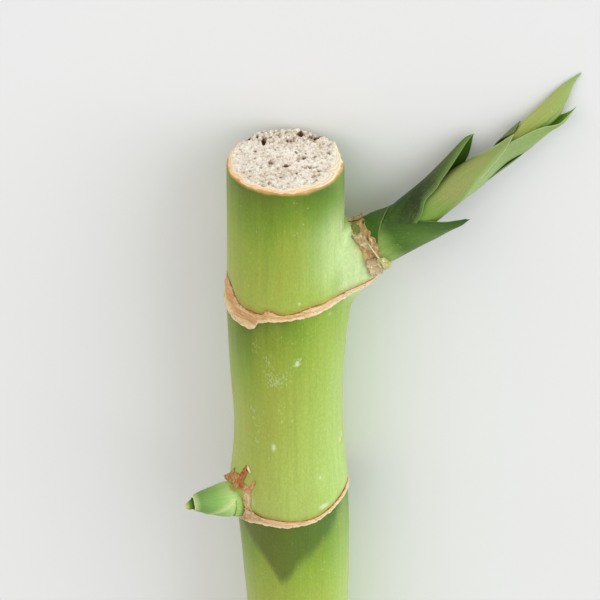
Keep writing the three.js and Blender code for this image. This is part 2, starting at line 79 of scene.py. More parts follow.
BRANCH_REACH = [
    [108, 9.0], [114, 10.0], [119.1, 10.9], [121, 11.35], [122.6, 12.0], [124.4, 13.2],
    [126.05, 14.6], [127.6, 16.1], [128.6, 16.8],
]
BRANCH_BREADTH = [[108, 8.5], [120, 7.6], [126, 7.0], [129, 6.3], [133, 5.9], [137.2, 4.7]]
BRANCH_FACE_SLOPE = 0.577
BRANCH_ROUNDNESS = 2.4
BRANCH_BLEND = 1.6
SHOULDER_BLEND = 0.8
SHOULDER = [[-9, 6.3], [-6, 6.25], [-3.5, 5.8], [-1.5, 5.25], [0.35, 4.95]]

# Each scar: its upper and lower edge by cane angle.
SCARS = {
    "leaf_scar_bottom": (
        [[-150, 32.9], [-90, 32.4], [-30, 32.6], [30, 33.2], [90, 33.5], [150, 33.2]],
        [[-150, 31.6], [-90, 30.7], [-30, 31.3], [30, 32.1], [90, 32.3], [150, 32.1]],
    ),
    "leaf_scar_middle": (
        [
            [-165, 79.2], [-130, 78.2], [-95, 76.9], [-68, 76.8], [-57, 77.8], [-38, 79.4], [-20, 79.6],
            [0, 79.5], [14, 79.5], [26, 79.75], [36, 80.3], [47, 80.85], [58, 81.5], [70, 81.85], [81, 81.8],
            [120, 80.9], [160, 79.8],
        ],
        [
            [-165, 78.1], [-130, 76.9], [-95, 75.2], [-68, 75.6], [-57, 76.5], [-38, 77.8], [-20, 78.2],
            [0, 78.5], [14, 78.85], [26, 79.2], [36, 79.8], [47, 80.35], [58, 81.0], [70, 81.35], [81, 81.3],
            [120, 79.9], [160, 78.9],
        ],
    ),
    "leaf_scar_top": (
        [
            [-165, 126.0], [-130, 126.6], [-100, 127.4], [-78, 127.9], [-66, 127.4], [-58, 126.1],
            [-48, 125.0], [-38, 124.9], [-24, 124.8], [-18, 125.6], [-8, 125.2], [0, 125.0], [14, 125.6],
            [28, 126.1], [38, 126.0], [50, 126.1], [60, 126.6], [72, 127.6], [90, 128.1], [110, 127.5],
            [140, 126.1],
        ],
        [
            [-165, 124.8], [-130, 124.0], [-100, 121.8], [-78, 122.3], [-62, 121.5], [-51, 121.4],
            [-36, 121.4], [-30, 121.9], [-26, 123.15], [-8, 123.95], [8, 124.3], [31, 124.6], [46, 124.95],
            [58, 125.5], [70, 126.5], [90, 127.0], [110, 126.0], [140, 124.7],
        ],
    ),
}

# Dark patches left under a node where the old sheath opened: the lower border by cane angle.
PATCH_MIDDLE = [
    [-180, 84], [-75, 82], [-62, 76.8], [-55, 74.2], [-36.6, 70.4], [-22.9, 66.6], [-13, 64.8],
    [-5, 66.3], [4.9, 69.6], [28.3, 73.2], [50, 77.6], [62, 81.5], [80, 84],
]
PATCH_BOTTOM = [[-180, 17], [-160, 20], [-125, 27], [-95, 34], [-60, 38], [120, 38], [145, 27], [165, 20]]

# Sizes of the shoot, by run along its middle line. A leaf's left and right are its edges' angles, reach
# is its radius, shift moves it aside, hug draws its margins in, and flat makes it less deep than broad.
SHOOT_FOOT = np.array([132.9, -13.9, 0.0])
SHOOT_WAY = np.array([1.2, -2.1, 0.0]) / math.hypot(1.2, 2.1)
COLLAR_RADIUS = 4.9
VEIN_SPACING = 0.6
SHOOT_LINE = [
    [0, 132.9, 13.9], [2.4, 134.1, 16.0], [8, 137.3, 20.6], [19.6, 145.0, 29.4], [29.4, 151.5, 36.7],
    [38.5, 158.0, 43.1], [44.4, 162.7, 46.6], [49.3, 166.7, 49.4],
]
SHOOT_TWIST = math.radians(25.8)
LEAVES = {
    "shoot_sheath": {
        "reach": [[0.6, 4.72], [2.6, 4.74], [4.2, 4.66], [5.5, 4.45], [6.5, 4.22], [8.2, 4.02]],
        "shift": [[0, 0], [60, 0]],
        "left": [[0.6, -196], [4.2, -186], [6.5, -164], [8.2, -112]],
        "right": [
            [0.6, 60], [1.3, 46], [2, 28], [3.04, 13], [3.65, 0], [4.1, -9.5], [5.1, -26], [6.05, -41],
            [6.6, -52], [7.3, -66], [8.2, -100],
        ],
    },
    "shoot_leaf_low": {
        "reach": [
            [1.6, 4.52], [2.6, 4.54], [6, 4.46], [9, 4.16], [11.5, 3.5], [14, 2.5], [16.2, 1.6], [17.9, 0.9],
        ],
        "shift": [[1.6, 0], [6, 0.17], [9, 0.78], [11.5, 1.82], [14, 3.15], [16.2, 4.55], [17.9, 5.6]],
        "left": [
            [1.6, -60], [4.5, -60], [6, -43], [7.7, -33], [8.5, -29], [9.8, -24], [11, -18], [12.1, -10],
            [13.2, -4], [14.1, 5], [14.9, 11], [16, 12], [16.9, 16], [17.5, 20], [17.9, 66],
        ],
        "right": [[1.6, 158], [5, 150], [8, 146], [11, 140], [14, 134], [16.4, 122], [17.9, 100]],
        "hug": 0.4,
    },
    "shoot_leaf_back": {
        "reach": [
            [2.6, 3.88], [7, 3.88], [10, 3.93], [13.4, 3.93], [16.5, 3.6], [20, 3.0], [24, 2.1], [26, 1.35],
            [27, 0.95], [27.6, 0.6],
        ],
        "shift": [
            [2.6, 0], [7, 0], [10, -0.16], [13.4, -0.27], [16.5, -0.82], [20, -1.87], [24, -3.45],
            [26, -4.45], [27, -4.85], [27.6, -5.05],
        ],
        "left": [
            [2.6, -168], [13, -172], [18, -180], [22, -192], [25, -193], [26, -186], [27, -160], [27.6, -118],
        ],
        "right": [
            [2.6, 130], [6, 70], [9, 34], [12, 14], [13.2, 3], [14, -7], [15, -13], [16, -13], [17.5, -11],
            [18.6, -15], [20, -16], [21.5, -19], [23, -21], [24.4, -24], [25.75, -29], [26.8, -34],
            [27.3, -56], [27.6, -100],
        ],
        "hug": 0.25,
    },
    "shoot_leaf_front": {
        "reach": [[4.2, 3.04], [8, 2.98], [13.4, 3.0], [19.6, 2.78], [25, 2.32], [29.4, 1.98], [33.6, 1.86]],
        "shift": [[0, 0], [60, 0]],
        "left": [
            [4.2, -160], [19, -150], [23, -126], [24.8, -97], [26.4, -77], [28.4, -63], [30.4, -51],
            [31.9, -45], [33, -39], [33.6, -36],
        ],
        "right": [
            [4.2, 150], [9, 112], [12, 98], [15, 94], [18.5, 90], [19.6, 80], [21, 66], [22.2, 58],
            [23.7, 44], [25.7, 36], [27.5, 27], [29.4, 16], [30.8, 7], [32.2, -10], [33, -24], [33.6, -34],
        ],
        "hug": 0.1,
    },
    "shoot_leaf_side": {
        "reach": [
            [7.2, 2.3], [13.4, 2.28], [15.2, 2.15], [19.6, 2.05], [23, 2.0], [25, 1.92], [27.5, 1.8],
            [29.4, 1.76], [31.5, 1.8], [33.1, 1.85], [35.9, 1.8], [38.3, 1.65], [40.1, 1.36], [41.3, 1.1],
            [42.7, 0.76], [44.3, 0.32],
        ],
        "shift": [
            [7.2, 0], [13.4, 0], [15.2, 0.15], [17, 0.5], [19.6, 0.7], [23, 0.7], [25, 0.55], [27.5, 0.42],
            [29.4, 0.34], [31.5, 0.5], [33.1, 0.74], [35.9, 0.81], [38.3, 1.1], [40.1, 1.84], [41.3, 2.21],
            [42.7, 2.45], [44.3, 2.8],
        ],
        "left": [
            [7.2, -30], [13.4, -10], [15.2, 40], [19.6, 40], [22, 32], [25, 12], [27.5, -8], [29.4, -24],
            [31, -33], [32.4, -32], [33.5, -26], [34.6, -18], [36.7, -5], [38.2, 8], [39.6, 27], [40.6, 48],
            [42.1, 54], [43.7, 78], [44.3, 100],
        ],
        "right": [
            [7.2, 92], [16, 96], [20, 116], [24, 118], [28, 104], [34, 125], [36, 148], [38, 168],
            [39.6, 180], [41, 194], [41.6, 186], [42.2, 172], [43.8, 136], [44.3, 118],
        ],
    },
    "shoot_leaf_under": {
        "reach": [
            [7.2, 2.3], [13.4, 2.3], [18, 2.0], [22, 1.8], [25, 1.84], [27.5, 1.98], [29.4, 2.06],
            [31.5, 2.02], [33.4, 1.88],
        ],
        "shift": [
            [7.2, 0], [12, 0.05], [14, 0.3], [17, 0.72], [20, 0.75], [23, 0.7], [25, 0.65], [27.2, 0.52],
            [29.4, 0.48], [31.5, 0.55], [33.4, 0.65],
        ],
        "left": [[7.2, 90], [22, 80], [25, 70], [29.4, 66], [31.5, 76], [33.4, 96]],
        "right": [[7.2, 206], [20, 190], [28, 172], [31.5, 140], [33.4, 108]],
    },
    "shoot_leaf_hidden": {
        "reach": [[7.2, 2.3], [13.4, 2.3], [19.6, 2.0], [25, 1.58], [29.4, 1.65], [33, 1.78], [35.5, 1.8]],
        "shift": [[7.2, 0], [25, 0], [29.4, -0.15], [33, -0.3], [35.5, -0.3]],
        "left": [[7.2, -142], [20, -146], [26, -172], [31, -166], [33.5, -140], [35.5, -108]],
        "right": [
            [7.2, -42], [19, -46], [23, -90], [25.5, -124], [29, -110], [31, -70], [32.5, -46], [33.6, -38],
            [34.5, -48], [35.5, -84],
        ],
        "flat": 0.76,
    },
}
SPEAR_FOOT, SPEAR_TIP = 7.2, 49.3
SPEAR_BREADTH = [
    [7.2, 1.4], [13.4, 1.48], [19.6, 1.15], [25, 0.78], [29.4, 1.1], [31.5, 1.42], [33.7, 1.5], [37.2, 1.76],
    [40, 1.84], [41.7, 1.76], [42.6, 1.62], [43.6, 1.4], [44.7, 1.18], [46.1, 0.8], [48, 0.32], [49.3, 0.08],
]
SPEAR_DEPTH = [[7.2, 1.4], [13.4, 1.48], [19.6, 1.15], [25, 0.78], [33.8, 0.85], [42, 0.62], [49.3, 0.08]]
SPEAR_SHIFT = [
    [7.2, 0], [31, 0], [33.7, -0.08], [37.2, 0], [40, 0.14], [41.7, 0.2], [42.6, 0.1], [43.6, -0.04],
    [44.7, -0.1], [46.1, -0.24], [48, -0.16], [49.3, 0],
]
SPEAR_EDGE = [[7, 30], [30, 40], [40, 34], [46, 60], [49.3, 80]]

# How finely each mesh is divided: the points across or round it, and its rings or the gap between them.
CANE_SIDES, CUT_RINGS = 240, 57
SCAR_SIDES, SCAR_RINGS = 900, 22
LEAF_COLUMNS, LEAF_STEP = 57, 0.28
SPEAR_COLUMNS, SPEAR_RINGS = 65, 171
BAND_SIDES, BAND_RINGS = 220, 22
FLAKE_SIDES, FLAKE_RINGS = 84, 16
BUD_SIDES, BUD_OUTER_RINGS, BUD_INNER_RINGS = 120, 70, 26


# Small maths

def along(keys, position, column=1):
    """A smooth curve through rows of keys, held level past both ends."""
    keys = np.asarray(keys, float)
    x, y = keys[:, 0], keys[:, column]
    order = np.arange(len(x))
    before, after = np.maximum(order - 1, 0), np.minimum(order + 1, len(x) - 1)
    slope = (y[after] - y[before]) / (x[after] - x[before])
    position = np.clip(position, x[0], x[-1])
    i = np.clip(np.searchsorted(x, position, side="right") - 1, 0, len(x) - 2)
    span = x[i + 1] - x[i]
    k = (position - x[i]) / span
    rise = k * k * (3 - 2 * k)
    bend = span * k * (1 - k) * ((1 - k) * slope[i] - k * slope[i + 1])
    return y[i] * (1 - rise) + y[i + 1] * rise + bend


def wrap(angle):
    """The same angle, from -180 up to 180."""
    return np.mod(np.asarray(angle, float) + 180, 360) - 180


def around(keys, angle):
    """The same curve closed round the cane, for keys by angle."""
    keys = np.asarray(keys, float)
    return along(np.vstack([keys - [360, 0], keys, keys + [360, 0]]), wrap(angle))


def smooth_max(a, b, blend):
    mix = np.clip(0.5 + 0.5 * (a - b) / blend, 0, 1)
    return b + (a - b) * mix + blend * mix * (1 - mix)


def ease(value, start, end):
    """0 before start, 1 after end, and smooth between them."""
    k = np.clip((np.asarray(value, float) - start) / (end - start), 0, 1)
    return k * k * (3 - 2 * k)


def hump(*offsets):
    """1 where every offset is 0, and falling smoothly to 0 where one grows past 1 or 2."""
    return np.exp(-sum(offset**2 for offset in offsets))


def scatter(cells, seed):
    """A number from 0 to 1 for each whole-numbered cell, the same on every run."""
    mixed = np.full(cells.shape[:-1], (seed * 2654435761 + 97) & 0xFFFFFFFF, np.uint64)
    for axis in range(cells.shape[-1]):
        mixed ^= (cells[..., axis] + 100000).astype(np.uint64) * np.uint64(0x9E3779B1 + 2 * axis)
        mixed &= np.uint64(0xFFFFFFFF)
        mixed ^= mixed >> np.uint64(15)
        mixed = (mixed * np.uint64(0x85EBCA6B)) & np.uint64(0xFFFFFFFF)
        mixed ^= mixed >> np.uint64(13)
    return mixed.astype(float) / 0xFFFFFFFF


def noise(points, size, seed=0):
    """Smooth noise from -1 to 1, with features about size across."""
    p = np.asarray(points, float) / size
    cell = np.floor(p).astype(np.int64)
    f = p - cell
    f = f * f * (3 - 2 * f)
    total = np.zeros(p.shape[:-1])
    for corner in product((0, 1), repeat=p.shape[-1]):
        weight = np.prod(np.where(corner, f, 1 - f), axis=-1)
        total += weight * scatter(cell + np.array(corner), seed)
    return total * 2 - 1


def crumbs(points, size, seed):
    """Rounded crumbs on a plane: how far each point is from the nearest crumb's middle, and its tone."""
    p = np.asarray(points, float) / size
    cell = np.floor(p).astype(np.int64)
    nearest = np.full(p.shape[:-1], 9.0)
    tone = np.zeros(p.shape[:-1])
    for step in product((-1, 0, 1), repeat=2):
        c = cell + np.array(step)
        middle = c + np.stack([scatter(c, seed), scatter(c, seed + 1)], -1)
        distance = np.linalg.norm(p - middle, axis=-1)
        closer = distance < nearest
        nearest = np.where(closer, distance, nearest)
        tone = np.where(closer, scatter(c, seed + 2), tone)
    return nearest, tone


def to_frame(points):
    """Points in the cane's own millimetres to metres in the frame, where the piece lies."""
    x, y, z = np.moveaxis(np.asarray(points, float), -1, 0)
    c, s = math.cos(LYING_ROLL), math.sin(LYING_ROLL)
    return (np.stack([x, c * y - s * z, s * y + c * z], -1) + LYING_AT) * MM


# Camera

def make_camera():
    s, c = math.sin(VIEW_RISE), math.cos(VIEW_RISE)
    back, up, right = np.array([s, 0, c]), np.array([c, 0, -s]), np.array([0, -1.0, 0])
    origin = to_frame(np.zeros(3))
    place = to_frame(np.array(VIEW_TARGET) + VIEW_DISTANCE * back)
    axes = [(to_frame(axis) - origin) / MM for axis in (right, up, back)]
    camera = bpy.data.objects.new("camera", bpy.data.cameras.new("camera"))
    camera.data.lens = VIEW_LENS
    camera.data.sensor_width = 36
    camera.data.clip_start = 0.01
    camera.matrix_world = Matrix([[*(a[i] for a in axes), place[i]] for i in range(3)] + [[0, 0, 0, 1]])
    bpy.context.collection.objects.link(camera)
    bpy.context.scene.camera = camera
    return axes


view_right, view_up, view_back = make_camera()
bpy.context.scene.view_settings.view_transform = "Standard"


# Materials

# The kinds of node that the finishes use most, with their settings.
SUM, DIFFERENCE, PRODUCT, QUOTIENT, SINE = (
    ("ShaderNodeMath", {"operation": name}) for name in ("ADD", "SUBTRACT", "MULTIPLY", "DIVIDE", "SINE")
)
STEP = "ShaderNodeMapRange", {"interpolation_type": "SMOOTHSTEP"}
TINT = "ShaderNodeMix", {"data_type": "RGBA", "clamp_factor": True}
RAMP = "ShaderNodeValToRGB"


def colour(code):
    """An sRGB hex code as linear red, green, blue and alpha."""
    parts = [int(code[i:i + 2], 16) / 255 for i in (1, 3, 5)]
    return (*(p / 12.92 if p <= 0.04045 else ((p + 0.055) / 1.055) ** 2.4 for p in parts), 1.0)


def add(tree, kind, *values, out=None, **named):
    """Adds a node and gives back one of its outputs, the first that it shows or the one named by out.

    kind is the node's type, or its type and its settings, where stops fill a colour ramp. values fill the
    inputs that it shows, in their order, and named ones by name. An output is linked, and a hex code is
    a colour.
    """
    kind, settings = (kind, {}) if isinstance(kind, str) else kind
    made = tree.nodes.new(kind)
    for key, value in settings.items():
        if key == "stops":
            ramp = made.color_ramp.elements
            while len(ramp) < len(value):
                ramp.new(0.5)
            for element, (position, code) in zip(ramp, value):
                element.position = position
                element.color = colour(code)
        else:
            setattr(made, key, value)
    inputs = list(zip([socket for socket in made.inputs if socket.enabled], values))
    inputs += [(made.inputs[key.replace("_", " ")], value) for key, value in named.items()]
    for socket, value in inputs:
        if isinstance(value, bpy.types.NodeSocket):
            tree.links.new(value, socket)
        else:
            socket.default_value = colour(value) if str(value).startswith("#") else value
    shown = [socket for socket in made.outputs if socket.enabled]
    return made.outputs[out] if out else shown[0] if shown else None


def new_material(name, *fields):
    """An empty material: it, its nodes, and the mesh's own fields that it reads."""
    made = bpy.data.materials.new(name)
    made.use_nodes = True
    tree = made.node_tree
    tree.nodes.clear()
    read = [
        add(tree, ("ShaderNodeAttribute", {"attribute_name": key}), out="Vector" if key == "place" else "Fac")
        for key in fields
    ]
    return made, tree, *read


def finish(tree, base, height, bump_mm, roughness, **fixed):
    """Ends a material: its colour, bump and roughness, and what is the same all over."""
    bump = add(tree, "ShaderNodeBump", Strength=1.0, Distance=bump_mm * MM, Height=height)
    shader = add(tree, "ShaderNodeBsdfPrincipled", Base_Color=base, Normal=bump, Roughness=roughness, **fixed)
    add(tree, "ShaderNodeOutputMaterial", shader)


def grain_of(tree, along_mm, across_mm, detail=3.0, place=None):
    """Noise stretched along X, sized in millimetres of the real thing. Its place is a field in millimetres,
    or else the mesh's own metres."""
    unit = 1.0 if place else MM
    wide = 1 / (across_mm * unit)
    spot = add(tree, "ShaderNodeMapping", place or add(tree, "ShaderNodeTexCoord", out="Object"),
               Scale=(1 / (along_mm * unit), wide, wide))
    return add(tree, "ShaderNodeTexNoise", spot, 1.0, detail, 0.55)


def swayed(tree, value, grain, size):
    """A value that a grain shifts up and down by half of size."""
    return add(tree, SUM, value, add(tree, PRODUCT, add(tree, DIFFERENCE, grain, 0.5), size))


def tinted(tree, base, tint, grain, low, high, most, least=0.0):
    """A colour that takes on a tint, from least where the grain is low to most where it is high."""
    return add(tree, TINT, add(tree, STEP, grain, low, high, least, most), base, tint)


def living_rind():
    """Living green rind of the cane, a smooth wax-coated skin: dark under each node, paling to yellow
    green at the next, with fine lengthwise streaks and a soft, broad shine."""
    made, tree, under, patch, over, pale, warm, scuff, wear, tan = new_material(
        "living_green_rind", "under", "patch", "over", "pale", "warm", "scuff", "wear", "tan",
    )
    sizes = (26, 0.9, 4), (9, 0.22, 2), (16, 6, 3), (0.9, 0.8, 1), (0.6, 0.34, 2)
    streak, fine, cloud, speck, mottle = (grain_of(tree, *size) for size in sizes)
    share = add(tree, QUOTIENT, add(tree, SUM, swayed(tree, under, cloud, 7.0), 1.0), 46.0)
    green = [
        (0.0, "#44660f"), (0.05, "#567a15"), (0.14, "#6b9022"), (0.27, "#88a936"), (0.45, "#9db94a"),
        (0.7, "#a7c25a"), (1.0, "#adc968"),
    ]
    base = add(tree, (RAMP, {"stops": green}), share)
    base = tinted(tree, base, "#a2a53c", cloud, 0.42, 0.72, 0.3)
    ripe = add(tree, PRODUCT, warm, add(tree, STEP, share, 0.12, 0.5, 0.15, 0.32))
    base = add(tree, TINT, ripe, base, "#b09f42")
    # Pale: the swelling's paler rind, and a painted highlight down the lit side
    base = tinted(tree, base, "#cee3a4", pale, 0.0, 1.0, 0.9)
    base = tinted(tree, base, "#a98a35", over, 1.6, 0.0, 0.6)
    dusk = add(tree, TINT, warm, "#4b7228", "#5f6b1d")
    base = tinted(tree, base, dusk, swayed(tree, patch, streak, 3.0), -1.7, 1.9, 0.9)
    shade = add(tree, STEP, streak, 0.25, 0.75, 0.95, 1.05)
    shade = add(tree, PRODUCT, shade, add(tree, STEP, fine, 0.2, 0.8, 0.975, 1.025))
    shade = add(tree, PRODUCT, shade, add(tree, STEP, mottle, 0.3, 0.7, 0.94, 1.06))
    base = add(tree, "ShaderNodeHueSaturation", Value=shade, Color=base)
    base = tinted(tree, base, "#cfe0a6", speck, 0.73, 0.8, 0.35)
    base = tinted(tree, base, "#c3d69a", swayed(tree, scuff, mottle, 3.4), 0.7, 1.25, 0.5)
    # Pale specks, and painted highlights on the slash and at station 103.3
    base = tinted(tree, base, "#dbe6bd", wear, 0.1, 0.9, 0.75)
    base = tinted(tree, base, "#c99a56", tan, 0.1, 0.9, 0.85)
    height = add(tree, SUM, streak, add(tree, PRODUCT, add(tree, SUM, fine, mottle), 0.4))
    finish(
        tree, base, height, 0.05, add(tree, STEP, cloud, 0.3, 0.7, 0.36, 0.48), Subsurface_Weight=0.12,
        Subsurface_Radius=(1.0, 1.6, 0.4), Subsurface_Scale=0.0007, Specular_IOR_Level=0.3, Sheen_Weight=0.04,
        Sheen_Roughness=0.45,
    )
    return made


def cut_face():
    """A cut end after drying: a tan rim of dead rind, a cream ring, and soft pith in crumbs, with
    painted shade in the gaps between them and in its pits. Nothing on it shines."""
    made, tree, edge, pit, warm, tone = new_material("dried_cut_pith", "edge", "pit", "warm", "tone")
    fine, blur = grain_of(tree, 0.28, 0.28), grain_of(tree, 1.6, 1.6)
    ring = swayed(tree, edge, blur, 0.5)
    pith = [(0.0, "#38210f"), (0.2, "#75593e"), (0.42, "#b3a08a"), (0.62, "#dacdbb"), (1.0, "#f6efe4")]
    cream = [
        (0.0, "#c39a5e"), (0.1, "#ecd3a2"), (0.3, "#f6ecd2"), (0.42, "#e2cda6"), (0.55, "#f4ead2"),
        (0.68, "#dfcba8"), (0.8, "#efe6d2"), (1.0, "#dfd5c4"),
    ]
    bark = [
        (0.0, "#cf9c62"), (0.08, "#efc694"), (0.3, "#f3d3a6"), (0.44, "#e8b988"), (0.55, "#f7e4c6"),
        (0.68, "#f0d6b0"), (0.8, "#f3e9d8"), (1.0, "#e0d7c8"),
    ]
    # The pith's tone, darkened by painted shade in its gaps and pits
    crumb = add(tree, (RAMP, {"stops": pith}), swayed(tree, pit, fine, 1.15))
    crumb = tinted(tree, crumb, "#e9dfd0", tone, 0.55, 1.0, 0.55)
    crumb = tinted(tree, crumb, "#c4ae90", blur, 0.55, 0.75, 0.25)
    rim = add(tree, TINT, warm, *(add(tree, (RAMP, {"stops": stops}), ring) for stops in (cream, bark)))
    base = tinted(tree, rim, crumb, ring, 0.7, 1.1, 1.0)
    finish(tree, base, add(tree, SUM, fine, blur), 0.12, 0.92, Specular_IOR_Level=0.25)
    return made


def loose_crumb():
    """Single crumbs of dried pith that stand on the cut: matt, from cream to grey brown."""
    made, tree, tone = new_material("loose_pith_crumb", "tone")
    pith = [(0.0, "#8a7760"), (0.1, "#c4b49c"), (0.3, "#e2d6c2"), (0.7, "#f0e8d8"), (1.0, "#f8f2e6")]
    fine = grain_of(tree, 0.3, 0.3, 2)
    base = tinted(tree, add(tree, (RAMP, {"stops": pith}), tone), "#a8987f", fine, 0.7, 0.35, 0.4)
    finish(tree, base, fine, 0.08, 0.9, Specular_IOR_Level=0.2)
    return made


def dry_scar():
    """Torn foot of an old leaf sheath, dried to thin tan paper: fibres run round the cane, the worn
    lower lip is cream and the line against the green is rust brown."""
    made, tree, w, place, bright, glint = new_material("dry_leaf_scar", "w", "place", "bright", "glint")
    sizes = (3.6, 0.13, 3), (2.2, 0.5, 3), (0.6, 0.35, 2), (0.34, 0.22, 1)
    fibre, blotch, tear, pepper = (grain_of(tree, *size, place) for size in sizes)
    shifted = swayed(tree, w, tear, 0.3)
    tans = [
        (0.0, "#84481f"), (0.07, "#a46a34"), (0.15, "#e2bb83"), (0.4, "#d6a468"), (0.62, "#deb37a"),
        (0.82, "#f0d8a4"), (1.0, "#f6e4b6"),
    ]
    base = tinted(tree, add(tree, (RAMP, {"stops": tans}), shifted), "#c48e58", blotch, 0.48, 0.66, 0.5)
    core = add(tree, STEP, shifted, 0.1, 0.35, 0.0, 0.65)
    # Cream where the scar is bleached, and painted light on its lit side
    base = add(tree, TINT, add(tree, PRODUCT, bright, core), base, "#f0dfba")
    base = tinted(tree, base, "#a67040", fibre, 0.52, 0.64, 0.4)
    base = tinted(tree, base, "#f8e2b4", fibre, 0.47, 0.36, 0.6)
    base = tinted(tree, base, "#7d4c28", pepper, 0.62, 0.7, 0.6)
    # Painted glints: tiny white highlights on the scar
    base = add(tree, TINT, glint, base, "#fff2cf")
    height = add(tree, SUM, fibre, add(tree, PRODUCT, tear, 0.6))
    finish(
        tree, base, height, 0.16, add(tree, STEP, fibre, 0.3, 0.7, 0.62, 0.85), Specular_IOR_Level=0.35,
        Subsurface_Weight=0.06, Subsurface_Radius=(1.0, 0.6, 0.3), Subsurface_Scale=0.0004,
    )
    return made


def dry_paper(name, deep, tan, light, tint=None, burnt=0.6):
    """Dead bract, crumpled like thin paper: pale along its folds and brown in its creases, painted light and
    shade that follow the crumple. burnt is how brown its edge is."""
    made, tree, share, fold, place = new_material(name, "share", "fold", "place")
    fibre, blotch = grain_of(tree, 2.2, 0.13, 3, place), grain_of(tree, 0.8, 0.45, 3, place)
    folds = [(0.0, deep), (0.3, tan), (0.66, tan), (1.0, light)]
    # Painted light and shade: the colour runs from deep in the creases to light on the folds
    base = add(tree, (RAMP, {"stops": folds}), swayed(tree, fold, fibre, 1.3))
    if tint:
        base = tinted(tree, base, tint, blotch, 0.48, 0.62, 0.85)
    base = tinted(tree, base, deep, swayed(tree, share, blotch, 0.4), 0.84, 1.05, burnt)
    finish(tree, base, add(tree, SUM, fibre, blotch), 0.1, 0.72, Specular_IOR_Level=0.4)
    return made


def blade(name, foot, middle, top, inside, reach, blush=None, freckle=0.0, rim="#b4cc86", rim_width=0.2,
          margin_tint=None, dots=0.3):
    """A young rolled leaf: a thin smooth blade with parallel veins, a pale thin margin, and a darker
    inner face. foot, middle and top are its colours from the stem up, and reach is where it starts and
    ends, in millimetres along the shoot. blush is a brownish stipple, margin_tint a colour that it takes on
    by the margin."""
    made, tree, place, margin, inner, tan = new_material(name, "place", "margin", "inner", "tan")
    run = add(tree, "ShaderNodeSeparateXYZ", place)
    across = run.node.outputs["Y"]
    sizes = (6, 1.8, 3), (14, 0.2, 2), (0.32, 0.12, 1), (0.5, 0.4, 1)
    cloud, vein, stipple, speck = (grain_of(tree, *size, place) for size in sizes)
    way = add(tree, QUOTIENT, add(tree, DIFFERENCE, run, reach[0]), reach[1] - reach[0])
    stem_up = [(0.0, foot), (0.45, middle), (1.0, top)]
    base = add(tree, (RAMP, {"stops": stem_up}), swayed(tree, way, cloud, 0.3))
    if blush:
        tint, start, end, strength = blush
        patch = add(tree, STEP, run, start, start + 5.0)
        for part in (
            (run, end, end - 5.0), (cloud, 0.32, 0.6, 0.2, 1.0), (stipple, 0.42, 0.6, 0.25, strength),
            (margin, 0.5, 1.8),
        ):
            patch = add(tree, PRODUCT, patch, add(tree, STEP, *part))
        base = add(tree, TINT, patch, base, tint)
    if margin_tint:
        tint, width, strength = margin_tint
        base = tinted(tree, base, tint, margin, width, 0.0, strength)
    shade = add(tree, PRODUCT, add(tree, STEP, vein, 0.3, 0.7, 0.93, 1.07),
                add(tree, STEP, stipple, 0.3, 0.7, 0.95, 1.05))
    base = add(tree, "ShaderNodeHueSaturation", Value=shade, Color=base)
    if freckle:
        base = tinted(tree, base, "#a98f70", speck, 0.62, 0.7, freckle)
    else:
        base = tinted(tree, base, "#c8daa6", speck, 0.69, 0.75, dots)
    base = tinted(tree, base, "#a8954a", tan, 0.2, 0.8, 0.7)
    base = add(tree, TINT, add(tree, PRODUCT, inner, 0.9), base, inside)
    base = tinted(tree, base, rim, margin, rim_width, 0.03, 0.8)
    stripe = add(tree, SINE, add(tree, PRODUCT, across, 2 * math.pi / VEIN_SPACING))
    height = add(tree, SUM, add(tree, PRODUCT, stripe, 0.25), vein)
    finish(
        tree, base, height, 0.03, add(tree, STEP, cloud, 0.3, 0.7, 0.42, 0.54), Subsurface_Weight=0.1,
        Subsurface_Radius=(0.8, 1.4, 0.3), Subsurface_Scale=0.0005, Specular_IOR_Level=0.22,
    )
    return made


def stage_surface():
    """A matt painted studio floor, pale grey with a faint soft mottle."""
    made, tree = new_material("pale_studio_floor")
    base = add(tree, TINT, grain_of(tree, 90, 60), "#eeeeee", "#f3f3f3")
    finish(tree, base, grain_of(tree, 1.2, 1.2, 2), 0.01, 0.85, Specular_IOR_Level=0.2)
    return made


RIND, CUT, CRUMB, SCAR = living_rind(), cut_face(), loose_crumb(), dry_scar()
PAPER_TAN = dry_paper("dry_bract_tan", "#74491f", "#bd9560", "#efdfb8", "#c2aa60")
PAPER_PINK = dry_paper("dry_bract_pinkish", "#7e5a3a", "#bfa279", "#ecdab2", "#c9b784", 0.5)
PAPER_LOBE = dry_paper("half_green_bract_lobe", "#b0934a", "#c6cf8b", "#e6e8b8", "#d3b45c", 0.4)
PAPER_BRIGHT = dry_paper("bleached_bract_fold", "#c9a778", "#ecdcb6", "#fff6de")
PAPER_AMBER = dry_paper("amber_bract_patch", "#94794a", "#c2a770", "#dccb98")
PAPER_GREEN = dry_paper("green_bract_window", "#8f6c38", "#72833a", "#9aa658", "#9a8450", 0.9)
PAPER_RUST = dry_paper("dry_bract_rust", "#74260a", "#ac5524", "#d6935a", "#bd7a3c", 0.2)
PAPER_BLUSH = dry_paper("dry_bract_blush", "#a87245", "#d6ab80", "#f3dfba", "#ccb67c", 0.2)
PAPER_SALMON = dry_paper("dry_bract_salmon", "#a05a2a", "#cf9164", "#e8c294", "#bd7440", 0.7)
PAPER_OCHRE = dry_paper("dry_bract_ochre", "#8a4a16", "#bd8a46", "#dcb880", "#b06c2e", 0.3)
